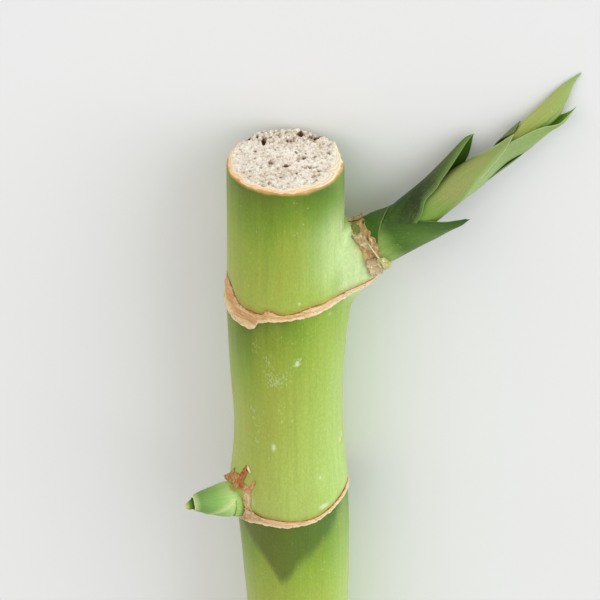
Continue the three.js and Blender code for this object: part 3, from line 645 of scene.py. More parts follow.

# Each leaf's slot name and its finish.
LEAF_LOOKS = {
    "shoot_sheath": ("leaf_dark", blade(
        "sheath_dark_green", "#4c7220", "#3f621a", "#4a5f2a", "#2a4a14", (1, 8), rim="#9aad6c",
        rim_width=0.12)),
    # The low leaf's dark margin tint is painted shade toward its edges.
    "shoot_leaf_low": ("leaf_mid", blade(
        "low_leaf_green", "#a2be66", "#4d7022", "#64843a", "#2f5c1c", (2.2, 11.5), rim="#8fae66",
        rim_width=0.12, margin_tint=("#36531a", 5.6, 0.9))),
    "shoot_leaf_back": ("leaf_dark", blade(
        "back_leaf_dark_green", "#50702c", "#293a17", "#5a6e32", "#4a7416", (2.6, 26), freckle=0.18,
        rim="#8aa85e", rim_width=0.14, margin_tint=("#7e9c52", 1.3, 0.5))),
    "shoot_leaf_front": ("leaf_mid", blade(
        "front_leaf_green", "#749c3a", "#88a050", "#90a258", "#33611a", (8, 33),
        blush=("#a79a66", 13, 34, 0.6), rim="#c6d69a", margin_tint=("#a3bd78", 1.3, 0.75))),
    "shoot_leaf_side": ("leaf_light", blade(
        "side_leaf_light_green", "#a8bf86", "#9ab272", "#88a258", "#6a9c26", (16, 44.4), rim="#b6cd8c")),
    "shoot_leaf_under": ("leaf_dark", blade(
        "under_leaf_dark_green", "#6d9345", "#4a7030", "#5c8040", "#2c4f18", (7, 33.4), rim="#6f9048")),
    "shoot_leaf_hidden": ("leaf_dark", blade(
        "hidden_leaf_grey_green", "#64783f", "#626f3f", "#6b7a4a", "#4a5a30", (7, 35.5), rim="#7d8c58",
        rim_width=0.12)),
    "shoot_spear": ("leaf_light", blade(
        "spear_yellow_green", "#91a84c", "#a1b257", "#a3b870", "#8fb06c", (26, 49.3),
        blush=("#bdb070", 28, 47, 0.3), rim="#b6c880", rim_width=0.12)),
}
# The bud scale's pale foot is a painted highlight, its dark inner face is painted shade inside the mouth, and
# its margin tint is the pale lip with a painted highlight along the seam.
BUD_GREEN = blade("bud_scale_green", "#b0cf7e", "#85ad5a", "#6b914a", "#3c5a0c", (13.0, 19.5), rim="#e4efb8",
                  rim_width=0.22, margin_tint=("#c8da90", 1.3, 0.7), dots=0.0)
# The base scale's dark olive foot is painted shade where it meets the cane.
BUD_COLLAR = blade("bud_collar_green", "#6f7f2e", "#9fc468", "#a9c86f", "#6c8a3a", (11.0, 12.4),
                   rim="#7f9e4c", rim_width=0.14, dots=0.0)
# The tip's dark foot is painted shade in the mouth of the scale around it.
BUD_POINT = blade("bud_point_yellow_green", "#2f480a", "#64841a", "#dbe08e", "#4a6a10", (20.0, 21.3),
                  rim="#eceaa6", dots=0.0)


# Meshes

def make_piece(name, points, faces, materials, slots=None, **fields):
    """A smooth mesh from points in the cane's own millimetres, with its named fields on the vertices."""
    placed = to_frame(points)
    placed[:, 2] = np.maximum(placed[:, 2], 0)
    mesh = bpy.data.meshes.new(name)
    mesh.from_pydata(placed.tolist(), [], faces.tolist() if hasattr(faces, "tolist") else faces)
    for key, values in fields.items():
        values = np.asarray(values, np.float32)
        flat = values.ndim == 1
        layer = mesh.attributes.new(key, "FLOAT" if flat else "FLOAT_VECTOR", "POINT")
        layer.data.foreach_set("value" if flat else "vector", values.ravel())
    for material in materials:
        mesh.materials.append(material)
    mesh.polygons.foreach_set("use_smooth", np.ones(len(mesh.polygons), bool))
    if slots is not None:
        mesh.polygons.foreach_set("material_index", np.asarray(slots, np.int32))
    mesh.validate()
    mesh.update()
    made = bpy.data.objects.new(name, mesh)
    bpy.context.collection.objects.link(made)
    return made


def dress(piece, slot, *nodes):
    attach(piece, "root")
    if nodes:
        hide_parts(*nodes)
    return piece


def grid_faces(rows, columns, offset=0, closed=False, flip=False):
    """Quads between rows of points; closed joins the last column to the first."""
    i, j = np.meshgrid(np.arange(rows - 1), np.arange(columns if closed else columns - 1), indexing="ij")
    a = offset + i * columns + j
    b = offset + i * columns + (j + 1) % columns
    quads = np.stack([a, b, b + columns, a + columns], -1).reshape(-1, 4)
    return quads[:, ::-1] if flip else quads


def looped(rows, columns, flip=False):
    """Quads between closed rings of points, with the last ring joined to the first."""
    return grid_faces(rows + 1, columns, closed=True, flip=flip) % (rows * columns)


def capped(rows, columns, flip=False):
    """Quads between closed rings of points, and a fan at each end to a middle point that follows them."""
    faces = grid_faces(rows, columns, closed=True, flip=flip).tolist()
    last, low, high = (rows - 1) * columns, rows * columns, rows * columns + 1
    for j in range(columns):
        after = (j + 1) % columns
        a, b = (j, after) if flip else (after, j)
        faces += [(low, a, b), (high, last + b, last + a)]
    return faces


# Cane

def cane_point(station, angle, distance):
    a = np.radians(angle)
    station = station + 0 * a
    return np.stack([station, -(along(DRIFT, station) + distance * np.sin(a)), distance * np.cos(a)], -1)


def branch_radius(station, angle):
    """The swelling that the shoot grows from, 0 where a line out of the cane's middle misses it."""
    a = np.radians(angle)
    station = station + 0 * a
    inside = (station >= BRANCH_FOOT) & (station <= BRANCH_TOP) & (np.sin(a) > 1e-6)
    lip = along(BRANCH_REACH, BRANCH_LIP)
    reach = np.where(station < BRANCH_LIP, along(BRANCH_REACH, station),
                     lip - BRANCH_FACE_SLOPE * (station - BRANCH_LIP))
    breadth = along(BRANCH_BREADTH, station)
    n = BRANCH_ROUNDNESS
    total = np.abs(np.cos(a) / breadth) ** n + (np.maximum(np.sin(a), 1e-6) / reach) ** n
    return np.where(inside, total ** (-1 / n), 0)


def shoulder_radius(station, angle):
    """How far a line out of the cane stays inside the cone that carries the shoot's collar."""
    shape = np.broadcast(station, angle).shape
    station, angle = (np.broadcast_to(v, shape).ravel() for v in (station, angle))
    near = np.flatnonzero((station > 118) & (station < 140) & (angle > 10) & (angle < 170))
    reach = np.zeros(station.shape)
    for distance in np.arange(9.0, 20.0, 0.08):
        away = cane_point(station[near], angle[near], distance) - SHOOT_FOOT
        run = away @ SHOOT_WAY
        aside = np.linalg.norm(away - run[:, None] * SHOOT_WAY, axis=-1)
        inside = (run > SHOULDER[0][0]) & (run < SHOULDER[-1][0]) & (aside < along(SHOULDER, run))
        reach[near] = np.where(inside, distance, reach[near])
    return reach.reshape(shape)


def cane_radius(station, angle):
    angle = wrap(angle)
    boss = hump((station - BUD_BOSS_STATION) / BUD_BOSS_LENGTH, (angle - BUD_ANGLE) / BUD_BOSS_BREADTH)
    stem = along(GIRTH, station) + BUD_BOSS_HEIGHT * boss
    body = smooth_max(branch_radius(station, angle), stem, BRANCH_BLEND)
    return smooth_max(shoulder_radius(station, angle), body, SHOULDER_BLEND)


def top_cut(angle):
    return CANE_LENGTH - TOP_CUT_SLANT * along(GIRTH, CANE_LENGTH) * np.cos(np.radians(angle))


# Pits in the top cut: shoot side, viewer side, radius across and along, depth.
PITS = [
    (2.45, -7.9, 0.42, 0.66, 2.0), (5.22, -6.87, 0.5, 0.4, 1.0), (-3.78, -5.62, 0.34, 0.8, 1.0),
    (-1.37, -7.4, 0.6, 0.6, 0.6), (-2.5, 0.86, 0.34, 0.62, 0.9), (0.07, 1.77, 0.45, 0.36, 0.8),
    (2.96, -0.36, 0.75, 0.36, 0.9), (4.15, 2.38, 0.9, 0.32, 0.9), (0.55, -5.93, 0.36, 0.3, 0.7),
    (-6.4, -7.0, 0.34, 0.5, 0.6), (6.02, 3.28, 0.5, 0.26, 0.5), (-0.7, 5.2, 0.36, 0.24, 0.55),
    (1.9, 4.0, 0.28, 0.34, 0.5), (-5.2, -2.6, 0.3, 0.4, 0.5), (7.4, -2.2, 0.3, 0.4, 0.5),
]
# Breadth of the smooth ring between the rind and the pith, by cane angle.
TOP_RING = [
    [-180, 0.25], [-150, 0.25], [-120, 0.5], [-90, 0.9], [-60, 1.2], [-30, 1.4], [0, 1.5], [30, 1.65],
    [60, 2.0], [90, 1.7], [108, 1.1], [125, 0.45], [150, 0.25],
]
LOW_RING = [[-180, 1.1], [-90, 0.9], [0, 1.3], [90, 1.0]]
# How far down from the top cut the rind is scorched tan, by cane angle.
SCORCH = [[-180, 0.15], [-120, 0.25], [-60, 0.3], [-10, 0.2], [30, 0.1], [120, 0.1]]


def top_chips(angle):
    """How far the rim of the top cut is broken away."""
    ring = np.stack([10 * np.cos(np.radians(angle)), 10 * np.sin(np.radians(angle))], -1)
    back = ease(np.abs(angle), 100, 140)
    return (0.95 * hump((angle - 99) / 11) + 0.12 * (1 + noise(ring, 1.6, 41))
            + (0.1 + 0.25 * back) * (1 + noise(ring, 0.7, 42)))


def pith_of(flat, share, is_top, seed):
    """The crumbled pith of a cut: how far it stands up, how light it is, and its crumbs' own tone.
    How light it is holds painted shade in the gaps between crumbs and in the pits.
    """
    side, front = flat[:, 0], flat[:, 1]
    warp = 0.3 * np.stack([noise(flat, 0.8, seed), noise(flat, 0.8, seed + 9)], -1)
    near, tone = crumbs(flat + warp, 0.7, seed + 3)
    small, _ = crumbs(flat + warp, 0.36, seed + 6)
    clump = noise(flat, 2.3, seed + 7)
    back = ease(-front, 1.0, 7.5) * is_top
    lift = (0.3 * (1 - share**2) + (0.12 + 0.2 * back) * clump + (0.34 + 0.3 * back) * (0.5 - near)
            + 0.14 * (0.5 - small))
    # Lightness: painted shade in the gaps between crumbs, with the clumps' and crumbs' own tone
    shade = np.clip(1.02 - 0.5 * near**2 - 0.3 * small**2 + 0.16 * clump + 0.2 * (tone - 0.5), 0, 1)
    shade -= back**2 * np.clip(0.16 + 0.5 * noise(flat, 0.55, seed + 10), 0, 0.5)
    for x, y, across, up, depth in PITS if is_top else ():
        dent = hump((side - x) / across, (front - y) / up)
        lift -= 1.1 * depth * dent
        # Painted shade in each pit
        shade -= 1.7 * depth * dent
    return lift, shade, tone


def cut_end(rim, outward, seed, widths, angles):
    """Rings from the rim of a cut to its middle, with the crumbled pith's height, and its fields."""
    is_top = outward > 0
    centre = cane_point(CANE_LENGTH if is_top else 0.0, 0.0, 0.0)
    radius = np.linalg.norm((rim - centre)[:, 1:], axis=1)
    width = around(widths, angles)
    rings, fields = [], {"edge": [], "pit": [], "tone": []}
    for share in np.linspace(1, 0, CUT_RINGS + 2)[1:-1]:
        ring = centre + (rim - centre) * share
        side, front = -(ring[:, 1] - centre[1]), ring[:, 2] - centre[2]
        flat = np.stack([side, front], -1)
        plane = centre[0] - TOP_CUT_SLANT * front * is_top
        edge = radius * (1 - share)
        ring[:, 0] = plane + (rim[:, 0] - plane) * ease(-edge, -0.7 * width - 0.1, 0.0)
        wobble = 0.3 * width * noise(flat, 1.1, seed + 12)
        pith = ease(edge + wobble, 0.55 * width, 1.05 * width)
        lift, shade, tone = pith_of(flat, share, is_top, seed)
        ridges = 0.06 * noise(flat, 1.3, seed + 8) + 0.05 * np.sin(edge / width * 9)
        height = ridges * (1 - pith) * ease(edge, 0.0, 0.15) + (lift - 0.05) * pith
        if is_top:
            chip = hump((np.degrees(np.arctan2(side, front)) - 119) / 5, (edge - 0.25) / 0.35)
            height += 0.9 * chip
            shade += chip
        else:
            height = np.minimum(height, 0.2)
        ring[:, 0] += outward * height
        rings.append(ring)
        fields["edge"].append((edge + wobble) / width)
        fields["pit"].append(np.clip(shade, 0, 1))
        fields["tone"].append(tone)
    middle = centre.copy()
    middle[0] += outward * 0.2
    return rings, middle, fields


# Small marks on the rind: station, angle, half length, half width, strength.
# Pale marks: most are pale specks; those at 93.4 and 94.0 on the slash and at 103.3 are painted highlights.
PALE_MARKS = [
    (127.3, 13, 0.35, 0.3, 0.9), (114.6, 11, 0.45, 0.3, 0.8), (103.3, -36, 0.4, 0.3, 0.6),
    (96, -15, 0.9, 0.42, 1.0), (88.5, 33, 0.5, 0.35, 0.8), (102, -6, 0.4, 0.25, 0.6),
    (81.9, 35, 0.55, 1.3, 0.9), (114.9, 10.6, 0.5, 0.35, 1.0), (123.4, 46, 0.5, 0.5, 0.5),
    (139, 70, 1.3, 0.3, 0.9), (67, 30, 0.4, 0.3, 0.5), (93.4, 68.5, 0.5, 0.4, 1.0), (94.0, 74, 0.6, 0.4, 0.9),
    (82.6, -38.5, 1.7, 0.6, 0.45), (90, 118, 0.7, 0.3, 0.7), (104, 150, 1.4, 0.2, 0.6),
    (60, -120, 0.9, 0.3, 0.6), (41, 60, 1.2, 0.22, 0.6), (22, -20, 0.6, 0.4, 0.7), (12, 100, 1.0, 0.25, 0.6),
    (50, 170, 0.8, 0.4, 0.6), (113, -130, 0.9, 0.3, 0.6),
]
# Scuffed places, where the wax is worn off in fine specks.
SCUFFS = [
    (117.6, -30, 1.6, 0.9, 0.7), (114.8, -18, 2.4, 1.2, 0.8), (111.0, -14, 2.2, 1.3, 0.75),
    (110.4, -5, 1.4, 1.8, 0.55), (112.4, 1, 1.6, 1.8, 0.55), (114.6, 10, 1.3, 1.3, 0.9),
    (116, 16.5, 1.0, 1.0, 0.6), (103.3, -38, 1.8, 0.9, 0.8), (99, -32, 3.0, 2.2, 0.45),
    (104, 2, 4.0, 3.0, 0.45), (121, 20, 2.5, 4.0, 0.4), (131, 8, 1.0, 2.6, 0.35), (97, 44, 3.0, 2.0, 0.4),
    (96.3, -34, 1.0, 0.9, 0.7), (66, -35, 3.0, 2.0, 0.5), (143.6, -42, 1.2, 0.9, 0.45),
    (141, -24, 2.4, 2.0, 0.35), (40, 150, 4.0, 2.0, 0.6), (95, -160, 4.0, 2.5, 0.6),
]
TAN_MARKS = [
    (98.6, -46, 1.0, 0.8, 0.5), (92.5, 69, 0.5, 0.6, 0.7), (93.0, 75, 0.5, 0.6, 0.7),
    (127.6, -50, 1.6, 0.9, 0.45), (58, -150, 0.7, 0.4, 0.8), (20, 130, 0.8, 0.3, 0.8),
    (106, 175, 0.6, 0.5, 0.7), (44, -60, 0.6, 0.25, 0.6), (138.5, 100, 1.2, 0.3, 0.6),
]


def painted(marks, station, angle, radius):
    """How strong the marks are at each point, up to 1."""
    total = np.zeros(station.shape)
    for at, turn, length, width, strength in marks:
        across = np.radians(wrap(angle - turn)) * radius
        total += strength * hump((station - at) / length, across / width)
    return np.clip(total, 0, 1)


def node_distances(station, angles, edges):
    """How far each point is under the scar or cut above it, and over the scar below it."""
    ends = [low for _, low in edges] + [top_cut(angles)]
    starts = [np.full(len(angles), -60.0)] + [high for high, _ in edges]
    under, over = np.full(station.shape, 99.0), np.full(station.shape, 99.0)
    for start, end in zip(starts, ends):
        inside = (station >= start - 0.8) & (station <= end + 0.8)
        under = np.where(inside, np.minimum(under, np.abs(end - station)), under)
        over = np.where(inside, np.minimum(over, np.abs(station - start)), over)
    return under, over


def rind_relief(skin, station, under, over, edges):
    """Fine relief of the rind: waves, lengthwise streaks, a step at each scar and a frayed top edge."""
    relief = 0.05 * noise(skin, 9.0, 1) + 0.03 * noise(skin * [1 / 14, 1, 1], 1.3, 2)
    relief -= 0.14 * hump(under / 0.5) + 0.08 * hump(over / 0.5)
    band = np.zeros(station.shape)
    for high, low in edges:
        band += ease(station, low - 0.1, low + 0.3) * ease(-station, -high - 0.1, -high + 0.3)
    relief -= 0.2 * band
    relief -= 0.1 * ease(station - station[-1], -0.35, 0.0) * (1 + noise(skin, 0.8, 4))
    return relief


def patch_depth(station, angles, edges):
    """How far each point is inside a dark patch, which hangs from its scar down to its own border."""
    patch = np.full(station.shape, -20.0)
    for keys, (_, low) in ((PATCH_MIDDLE, edges[1]), (PATCH_BOTTOM, edges[0])):
        below = (station < low + 0.6) & (station > low - 26)
        patch = np.where(below, np.minimum(station - around(keys, angles), 6.0), patch)
    return patch


def pale_swell_and_painted_sheen(station, angle):
    """The pale rind on the swelling under the shoot, and a painted highlight down the cane's lit side."""
    swell = ease(branch_radius(station, angle), 9.5, 13.5) * ease(station, 121.0, 131.0)
    # side and wide are a painted highlight down the side of the cane that faces the key light
    side = hump((angle - 66) / 28)
    wide = hump((angle - 60) / 44) * ease(station, 124, 133) * ease(-station, -147, -138)
    return np.clip(swell + 0.25 * side + 0.45 * wide, 0, 1)


def tan_rind(skin, station, angle, radius):
    """Where the rind is dead: in spots, at the foot of the shoot's collar and along the top cut."""
    collar = np.linalg.norm(skin - SHOOT_FOOT, axis=-1)
    amber = 0.55 * ease(-collar, -5.5, -4.9) * (0.8 + 0.5 * noise(skin, 0.6, 44))
    spots = np.maximum(painted(TAN_MARKS, station, angle, radius), amber)
    scorched = np.maximum(around(SCORCH, angle[0]) * (1.2 + noise(skin, 0.7, 43)), 0.08)
    return np.maximum(spots, ease(station - station[-1], -scorched, -0.05))


def make_cane():
    """The whole cane, skin and both cuts. It returns the rings and fields of its two cuts."""
    turns = np.linspace(-180, 180, CANE_SIDES, endpoint=False)
    angles = wrap(turns - 22 * np.sin(np.radians(turns - 90)))
    stations = np.concatenate([
        np.arange(0, 74, 0.62), np.arange(74, 92, 0.45), np.arange(92, 118, 0.55), np.arange(118, 139, 0.32),
        np.linspace(TOP_TILT_FROM, CANE_LENGTH, 22),
    ])
    tilt = top_cut(angles) - CANE_LENGTH - top_chips(angles)
    station = stations[:, None] + tilt * ease(stations, TOP_TILT_FROM, CANE_LENGTH)[:, None]
    angle = np.broadcast_to(angles, station.shape)
    radius = cane_radius(station, angle)
    edges = [(around(upper, angles), around(lower, angles)) for upper, lower in SCARS.values()]
    under, over = node_distances(station, angles, edges)
    relief = rind_relief(cane_point(station, angle, radius), station, under, over, edges)
    skin = cane_point(station, angle, radius + relief)
    lighter = ease(angles, -12, 36) * ease(-angles, -140, -100) * ease(stations, 80, 84)[:, None]
    lighter = 9.0 * lighter * ease(-stations, -127, -124)[:, None]
    top_rings, top_middle, top_fields = cut_end(skin[-1], 1, 21, TOP_RING, angles)
    low_rings, low_middle, low_fields = cut_end(skin[0], -1, 51, LOW_RING, angles)
    points = np.concatenate([*low_rings[::-1], skin.reshape(-1, 3), *top_rings, [low_middle, top_middle]])
    total = 2 * CUT_RINGS + len(stations)
    on_cut = CUT_RINGS * CANE_SIDES
    slots = [1] * on_cut + [0] * (len(stations) - 1) * CANE_SIDES + [1] * (on_cut + 2 * CANE_SIDES)
    fields = {
        key: np.concatenate([*low_fields[key][::-1], np.zeros(station.size), *top_fields[key], [middle] * 2])
        for key, middle in (("edge", 10.0), ("pit", 0.8), ("tone", 0.5))
    }
    for key, values, elsewhere in (
        ("under", under + lighter, 0.0), ("over", over, 9.0),
        ("patch", patch_depth(station, angles, edges), -20.0), ("pale", pale_swell_and_painted_sheen(station, angle), 0.0),
        ("wear", painted(PALE_MARKS, station, angle, radius), 0.0),
        ("tan", tan_rind(skin, station, angle, radius), 0.0),
        ("scuff", painted(SCUFFS, station, angle, radius), 0.0),
    ):
        fields[key] = np.pad(values.ravel(), (on_cut, on_cut + 2), constant_values=elsewhere)
    all_angles = np.concatenate([np.tile(angles, total), [0, 0]])
    fields["warm"] = np.clip(0.35 + 0.85 * np.cos(np.radians(all_angles + 62)), 0, 1)
    faces = capped(total, CANE_SIDES)
    dress(make_piece("cane_stem", points, faces, [RIND, CUT], slots, **fields), "cane", "cane")
    return (top_rings, top_fields), (low_rings, low_fields)


def crumb_tree():
    """Scatters loose crumbs over the ground that it is given and sets their material."""
    tree = bpy.data.node_groups.new("scattered_crumbs", "GeometryNodeTree")
    for name, kind in (
        ("Ground", "Geometry"), ("Crumb radius", "Float"), ("Spacing", "Float"),
        ("Per square metre", "Float"), ("Seed", "Int"), ("Finish", "Material"),
    ):
        tree.interface.new_socket(name, in_out="INPUT", socket_type="NodeSocket" + kind)
    tree.interface.new_socket("Crumbs", in_out="OUTPUT", socket_type="NodeSocketGeometry")
    given = tree.nodes.new("NodeGroupInput").outputs
    seed = given["Seed"]
    points = add(
        tree, ("GeometryNodeDistributePointsOnFaces", {"distribute_method": "POISSON"}), given["Ground"],
        Distance_Min=given["Spacing"], Density_Max=given["Per square metre"], Seed=seed,
    )
    ball = add(tree, "GeometryNodeMeshIcoSphere", given["Crumb radius"], 2)
    lump = add(tree, "ShaderNodeTexNoise", out="Color", Scale=2600.0, Detail=1.0)
    push = add(tree, ("ShaderNodeVectorMath", {"operation": "SUBTRACT"}), lump, (0.5, 0.5, 0.5))
    push = add(tree, ("ShaderNodeVectorMath", {"operation": "SCALE"}), push, 0.00035)
    rough = add(tree, "GeometryNodeSetPosition", ball, Offset=push)
    any_vector = "FunctionNodeRandomValue", {"data_type": "FLOAT_VECTOR"}
    turn = add(tree, any_vector, (0.0, 0.0, 0.0), (6.28, 6.28, 6.28), Seed=seed)
    size = add(tree, any_vector, (0.4, 0.35, 0.4), (1.3, 0.9, 1.0), Seed=seed)
    shade = add(tree, ("FunctionNodeRandomValue", {"data_type": "FLOAT"}), 0.0, 1.0, Seed=seed)
    shape = add(tree, "GeometryNodeInstanceOnPoints", points, Instance=rough, Rotation=turn, Scale=size)
    shape = add(
        tree, ("GeometryNodeStoreNamedAttribute", {"data_type": "FLOAT", "domain": "INSTANCE"}), shape,
        Name="tone", Value=shade,
    )
    shape = add(tree, "GeometryNodeRealizeInstances", shape)
    shape = add(tree, "GeometryNodeSetShadeSmooth", shape)
    shape = add(tree, "GeometryNodeSetMaterial", shape, Material=given["Finish"])
    add(tree, "NodeGroupOutput", shape)
    return tree


def baked(tree, ground, name, **values):
    """Runs a geometry tree on ground and returns its result as a plain mesh piece."""
    holder = bpy.data.objects.new(name + "_ground", ground)
    bpy.context.collection.objects.link(holder)
    modifier = holder.modifiers.new("maker", "NODES")
    modifier.node_group = tree
    sockets = {s.name: s.identifier for s in tree.interface.items_tree if s.in_out == "INPUT"}
    for key, value in values.items():
        modifier[sockets[key.replace("_", " ")]] = value
    seen = holder.evaluated_get(bpy.context.evaluated_depsgraph_get())
    mesh = bpy.data.meshes.new_from_object(seen)
    bpy.data.objects.remove(holder)
    mesh.name = name
    made = bpy.data.objects.new(name, mesh)
    bpy.context.collection.objects.link(made)
    return made


def make_crumbs(tree, name, rings, fields, seed, radius):
    """Loose crumbs on a cut. They lie on the pith, not on its ring or in its pits."""
    clear = (np.concatenate(fields["pit"]) > 0.4) & (np.concatenate(fields["edge"]) > 0.9)
    faces = grid_faces(CUT_RINGS, CANE_SIDES, closed=True)
    ground = bpy.data.meshes.new(name + "_ground")
    ground.from_pydata(to_frame(np.concatenate(rings)).tolist(), [], faces[clear[faces].all(axis=1)].tolist())
    made = baked(
        tree, ground, name, Crumb_radius=radius * MM, Spacing=0.55 * MM, Per_square_metre=2.4e6, Seed=seed,
        Finish=CRUMB,
    )
    bpy.data.meshes.remove(ground)
    return dress(made, "cane")


# Leaf scars

# Painted glints on the scars: tiny white highlights, given as the marks on the rind.
GLINTS = [
    (125.5, -56.5, 0.16, 0.2, 1.0), (124.8, -48, 0.14, 0.22, 1.0), (124.6, -44, 0.12, 0.18, 0.7),
    (79.0, -8, 0.12, 0.3, 0.5), (80.6, 52, 0.12, 0.35, 0.5), (126.4, -120, 0.16, 0.25, 0.7),
]


def make_scar(name, upper, lower, cream):
    """A torn ring on the cane, a little proud of it. cream is how bleached it is all round."""
    angles = np.arange(SCAR_SIDES) * 360 / SCAR_SIDES - 180
    high, low = around(upper, angles), around(lower, angles)
    rim = cane_point(low, angles, SCAR_RADIUS)
    breadth = ease(high - low, 1.4, 4.0)
    rise = 0.26 + 0.16 * ease(high - low, 0.6, 2.4)
    low = low + 0.17 * noise(rim, 0.9, 5) + 0.1 * noise(rim, 0.3, 6) - 0.05
    high = high + 0.12 * noise(rim, 1.1, 7) + 0.16 * np.maximum(noise(rim, 0.45, 8), 0) + 0.1
    low = np.minimum(low, high - 0.35)

    def torn(share):
        """How far the outer skin stands out: it is wrinkled, in strands, and highest at its lower lip."""
        station = high + (low - high) * share
        place = cane_point(station, angles, SCAR_RADIUS)
        wrinkle = 0.07 * noise(place, 0.7, 9) + 0.1 * breadth * noise(place, 1.8, 10)
        strand = np.stack([station * 3.2, np.radians(angles) * 2.4], -1)
        wrinkle += (0.05 + 0.05 * breadth) * noise(strand, 1.0, 11) + 0.03 * noise(strand * 2.3, 1.0, 12)
        ridge = 0.07 * np.cos(2 * np.pi * (share * 2.0 - 0.75))
        return -0.04 + rise * share ** 0.8 + (ridge + wrinkle) * ease(share, 0.0, 0.2)

    lifts = [(share, torn(share)) for share in np.linspace(0, 1, SCAR_RINGS)]
    lifts += [(1.0, 0.1), (0.97, -0.25), (0.5, -0.3), (0.03, -0.3)]
    rings = []
    for share, lift in lifts:
        station = high + (low - high) * share
        rings.append(cane_point(station, angles, cane_radius(station, angles) + lift))
    ring = np.stack(rings)
    station, angle = ring[..., 0], np.broadcast_to(angles, ring.shape[:2])
    place = np.stack([np.radians(angle) * SCAR_RADIUS, station, 0 * station], -1)
    # Painted light toward angle 62, the side the key light falls on, plus cream, how bleached the scar is all
    # round
    bright = np.clip(hump((angle - 62) / 42) + cream, 0, 1)
    return dress(make_piece(
        name.replace("leaf_scar", "scar_ring"), ring.reshape(-1, 3), looped(len(ring), SCAR_SIDES, flip=True),
        [SCAR], w=np.repeat([share for share, _ in lifts], SCAR_SIDES), place=place.reshape(-1, 3),
        bright=bright.ravel(), glint=painted(GLINTS, station, angle, SCAR_RADIUS).ravel(),
    ), "leaf_scar", name)


# Shoot

def shoot_frame(run):
    """The shoot's middle at a run along it, and the two directions across it: low and near."""
    run = np.asarray(run, float)

    def at(s):
        inside = [along(SHOOT_LINE, s, column) for column in (1, 2)]
        first = [along(SHOOT_LINE, 0, column) for column in (1, 2)]
        slope = [along(SHOOT_LINE, 1, column) - f for column, f in zip((1, 2), first)]
        return [np.where(s >= 0, i, f + k * s) for i, f, k in zip(inside, first, slope)]

    x, out = at(run)
    xa, outa = at(run + 0.2)
    xb, outb = at(run - 0.2)
    turn = np.arctan2(xa - xb, outa - outb)
    zero = np.zeros_like(turn)
    lower = np.stack([-np.cos(turn), -np.sin(turn), zero], -1)
    up = np.stack([zero, zero, zero + 1], -1)
    c, s = math.cos(SHOOT_TWIST), math.sin(SHOOT_TWIST)
    return np.stack([x, -out, zero], -1), lower * c + up * s, up * c - lower * s


def shoot_point(run, angle, breadth, depth=None, shift=0.0):
    depth = breadth if depth is None else depth
    centre, low, near = shoot_frame(run + 0 * np.asarray(angle, float))
    a = np.radians(angle)
    return centre + low * (shift + breadth * np.sin(a))[..., None] + near * (depth * np.cos(a))[..., None]


def make_leaf(name, leaf, seed):
    """A rolled blade: an outer and an inner skin between its two edges, thin at its margins."""
    slot, material = LEAF_LOOKS[name]
    first, last = leaf["reach"][0][0], leaf["reach"][-1][0]
    rows, columns = int(24 + (last - first) / LEAF_STEP) + 1, LEAF_COLUMNS
    run = np.linspace(first, last, rows)[:, None]
    share = 0.5 - 0.5 * np.cos(np.linspace(0, np.pi, columns))[None, :]
    share = 0.6 * share + 0.4 * np.linspace(0, 1, columns)[None, :]
    left, right = along(leaf["left"], run), along(leaf["right"], run)
    wave = 1.2 * noise(np.concatenate([run, run * 0 + seed], -1), 2.2, seed)[:, None]
    right = np.maximum(right + wave, left + 1)
    angle = left + (right - left) * share
    every_run = run + 0 * angle
    reach, shift = along(leaf["reach"], run), along(leaf["shift"], run) + 0 * angle
    width = np.radians(right - left) * reach
    margin = np.minimum(np.minimum(share, 1 - share) * width, np.maximum(last - run, 0) * 0.8 + 0.02)
    thick = 0.1 + 0.26 * ease(margin, 0.0, 1.4)
    across = (share - 0.5) * width.max() + 0 * angle
    vein = 0.01 * np.sin(across * 2 * np.pi / VEIN_SPACING) * ease(margin, 0.1, 0.6)
    reach = reach + vein - leaf.get("hug", 0.0) * (1 - ease(margin, 0.0, 1.6))
    skins = [
        shoot_point(every_run, angle, radius, radius * leaf.get("flat", 1.0), shift).reshape(-1, 3)
        for radius in (reach, np.maximum(reach - thick, 0.05))
    ]
    count = rows * columns
    faces = [grid_faces(rows, columns), grid_faces(rows, columns, count, flip=True)]
    side, foot = np.arange(rows) * columns, np.arange(columns)
    for line, back in (
        (side, False), (side + columns - 1, True), (foot, True), (foot + count - columns, False),
    ):
        a, b = (line[1:], line[:-1]) if back else (line[:-1], line[1:])
        faces.append(np.stack([a, b, count + b, count + a], -1))
    place = np.stack([every_run, across, 0 * angle + seed], -1).reshape(-1, 3)
    return dress(make_piece(
        name.replace("shoot_", "blade_"), np.concatenate(skins), np.concatenate(faces), [material],
        place=np.tile(place, (2, 1)), margin=np.tile(margin.ravel(), 2), inner=np.repeat([0.0, 1.0], count),
    ), slot, name)


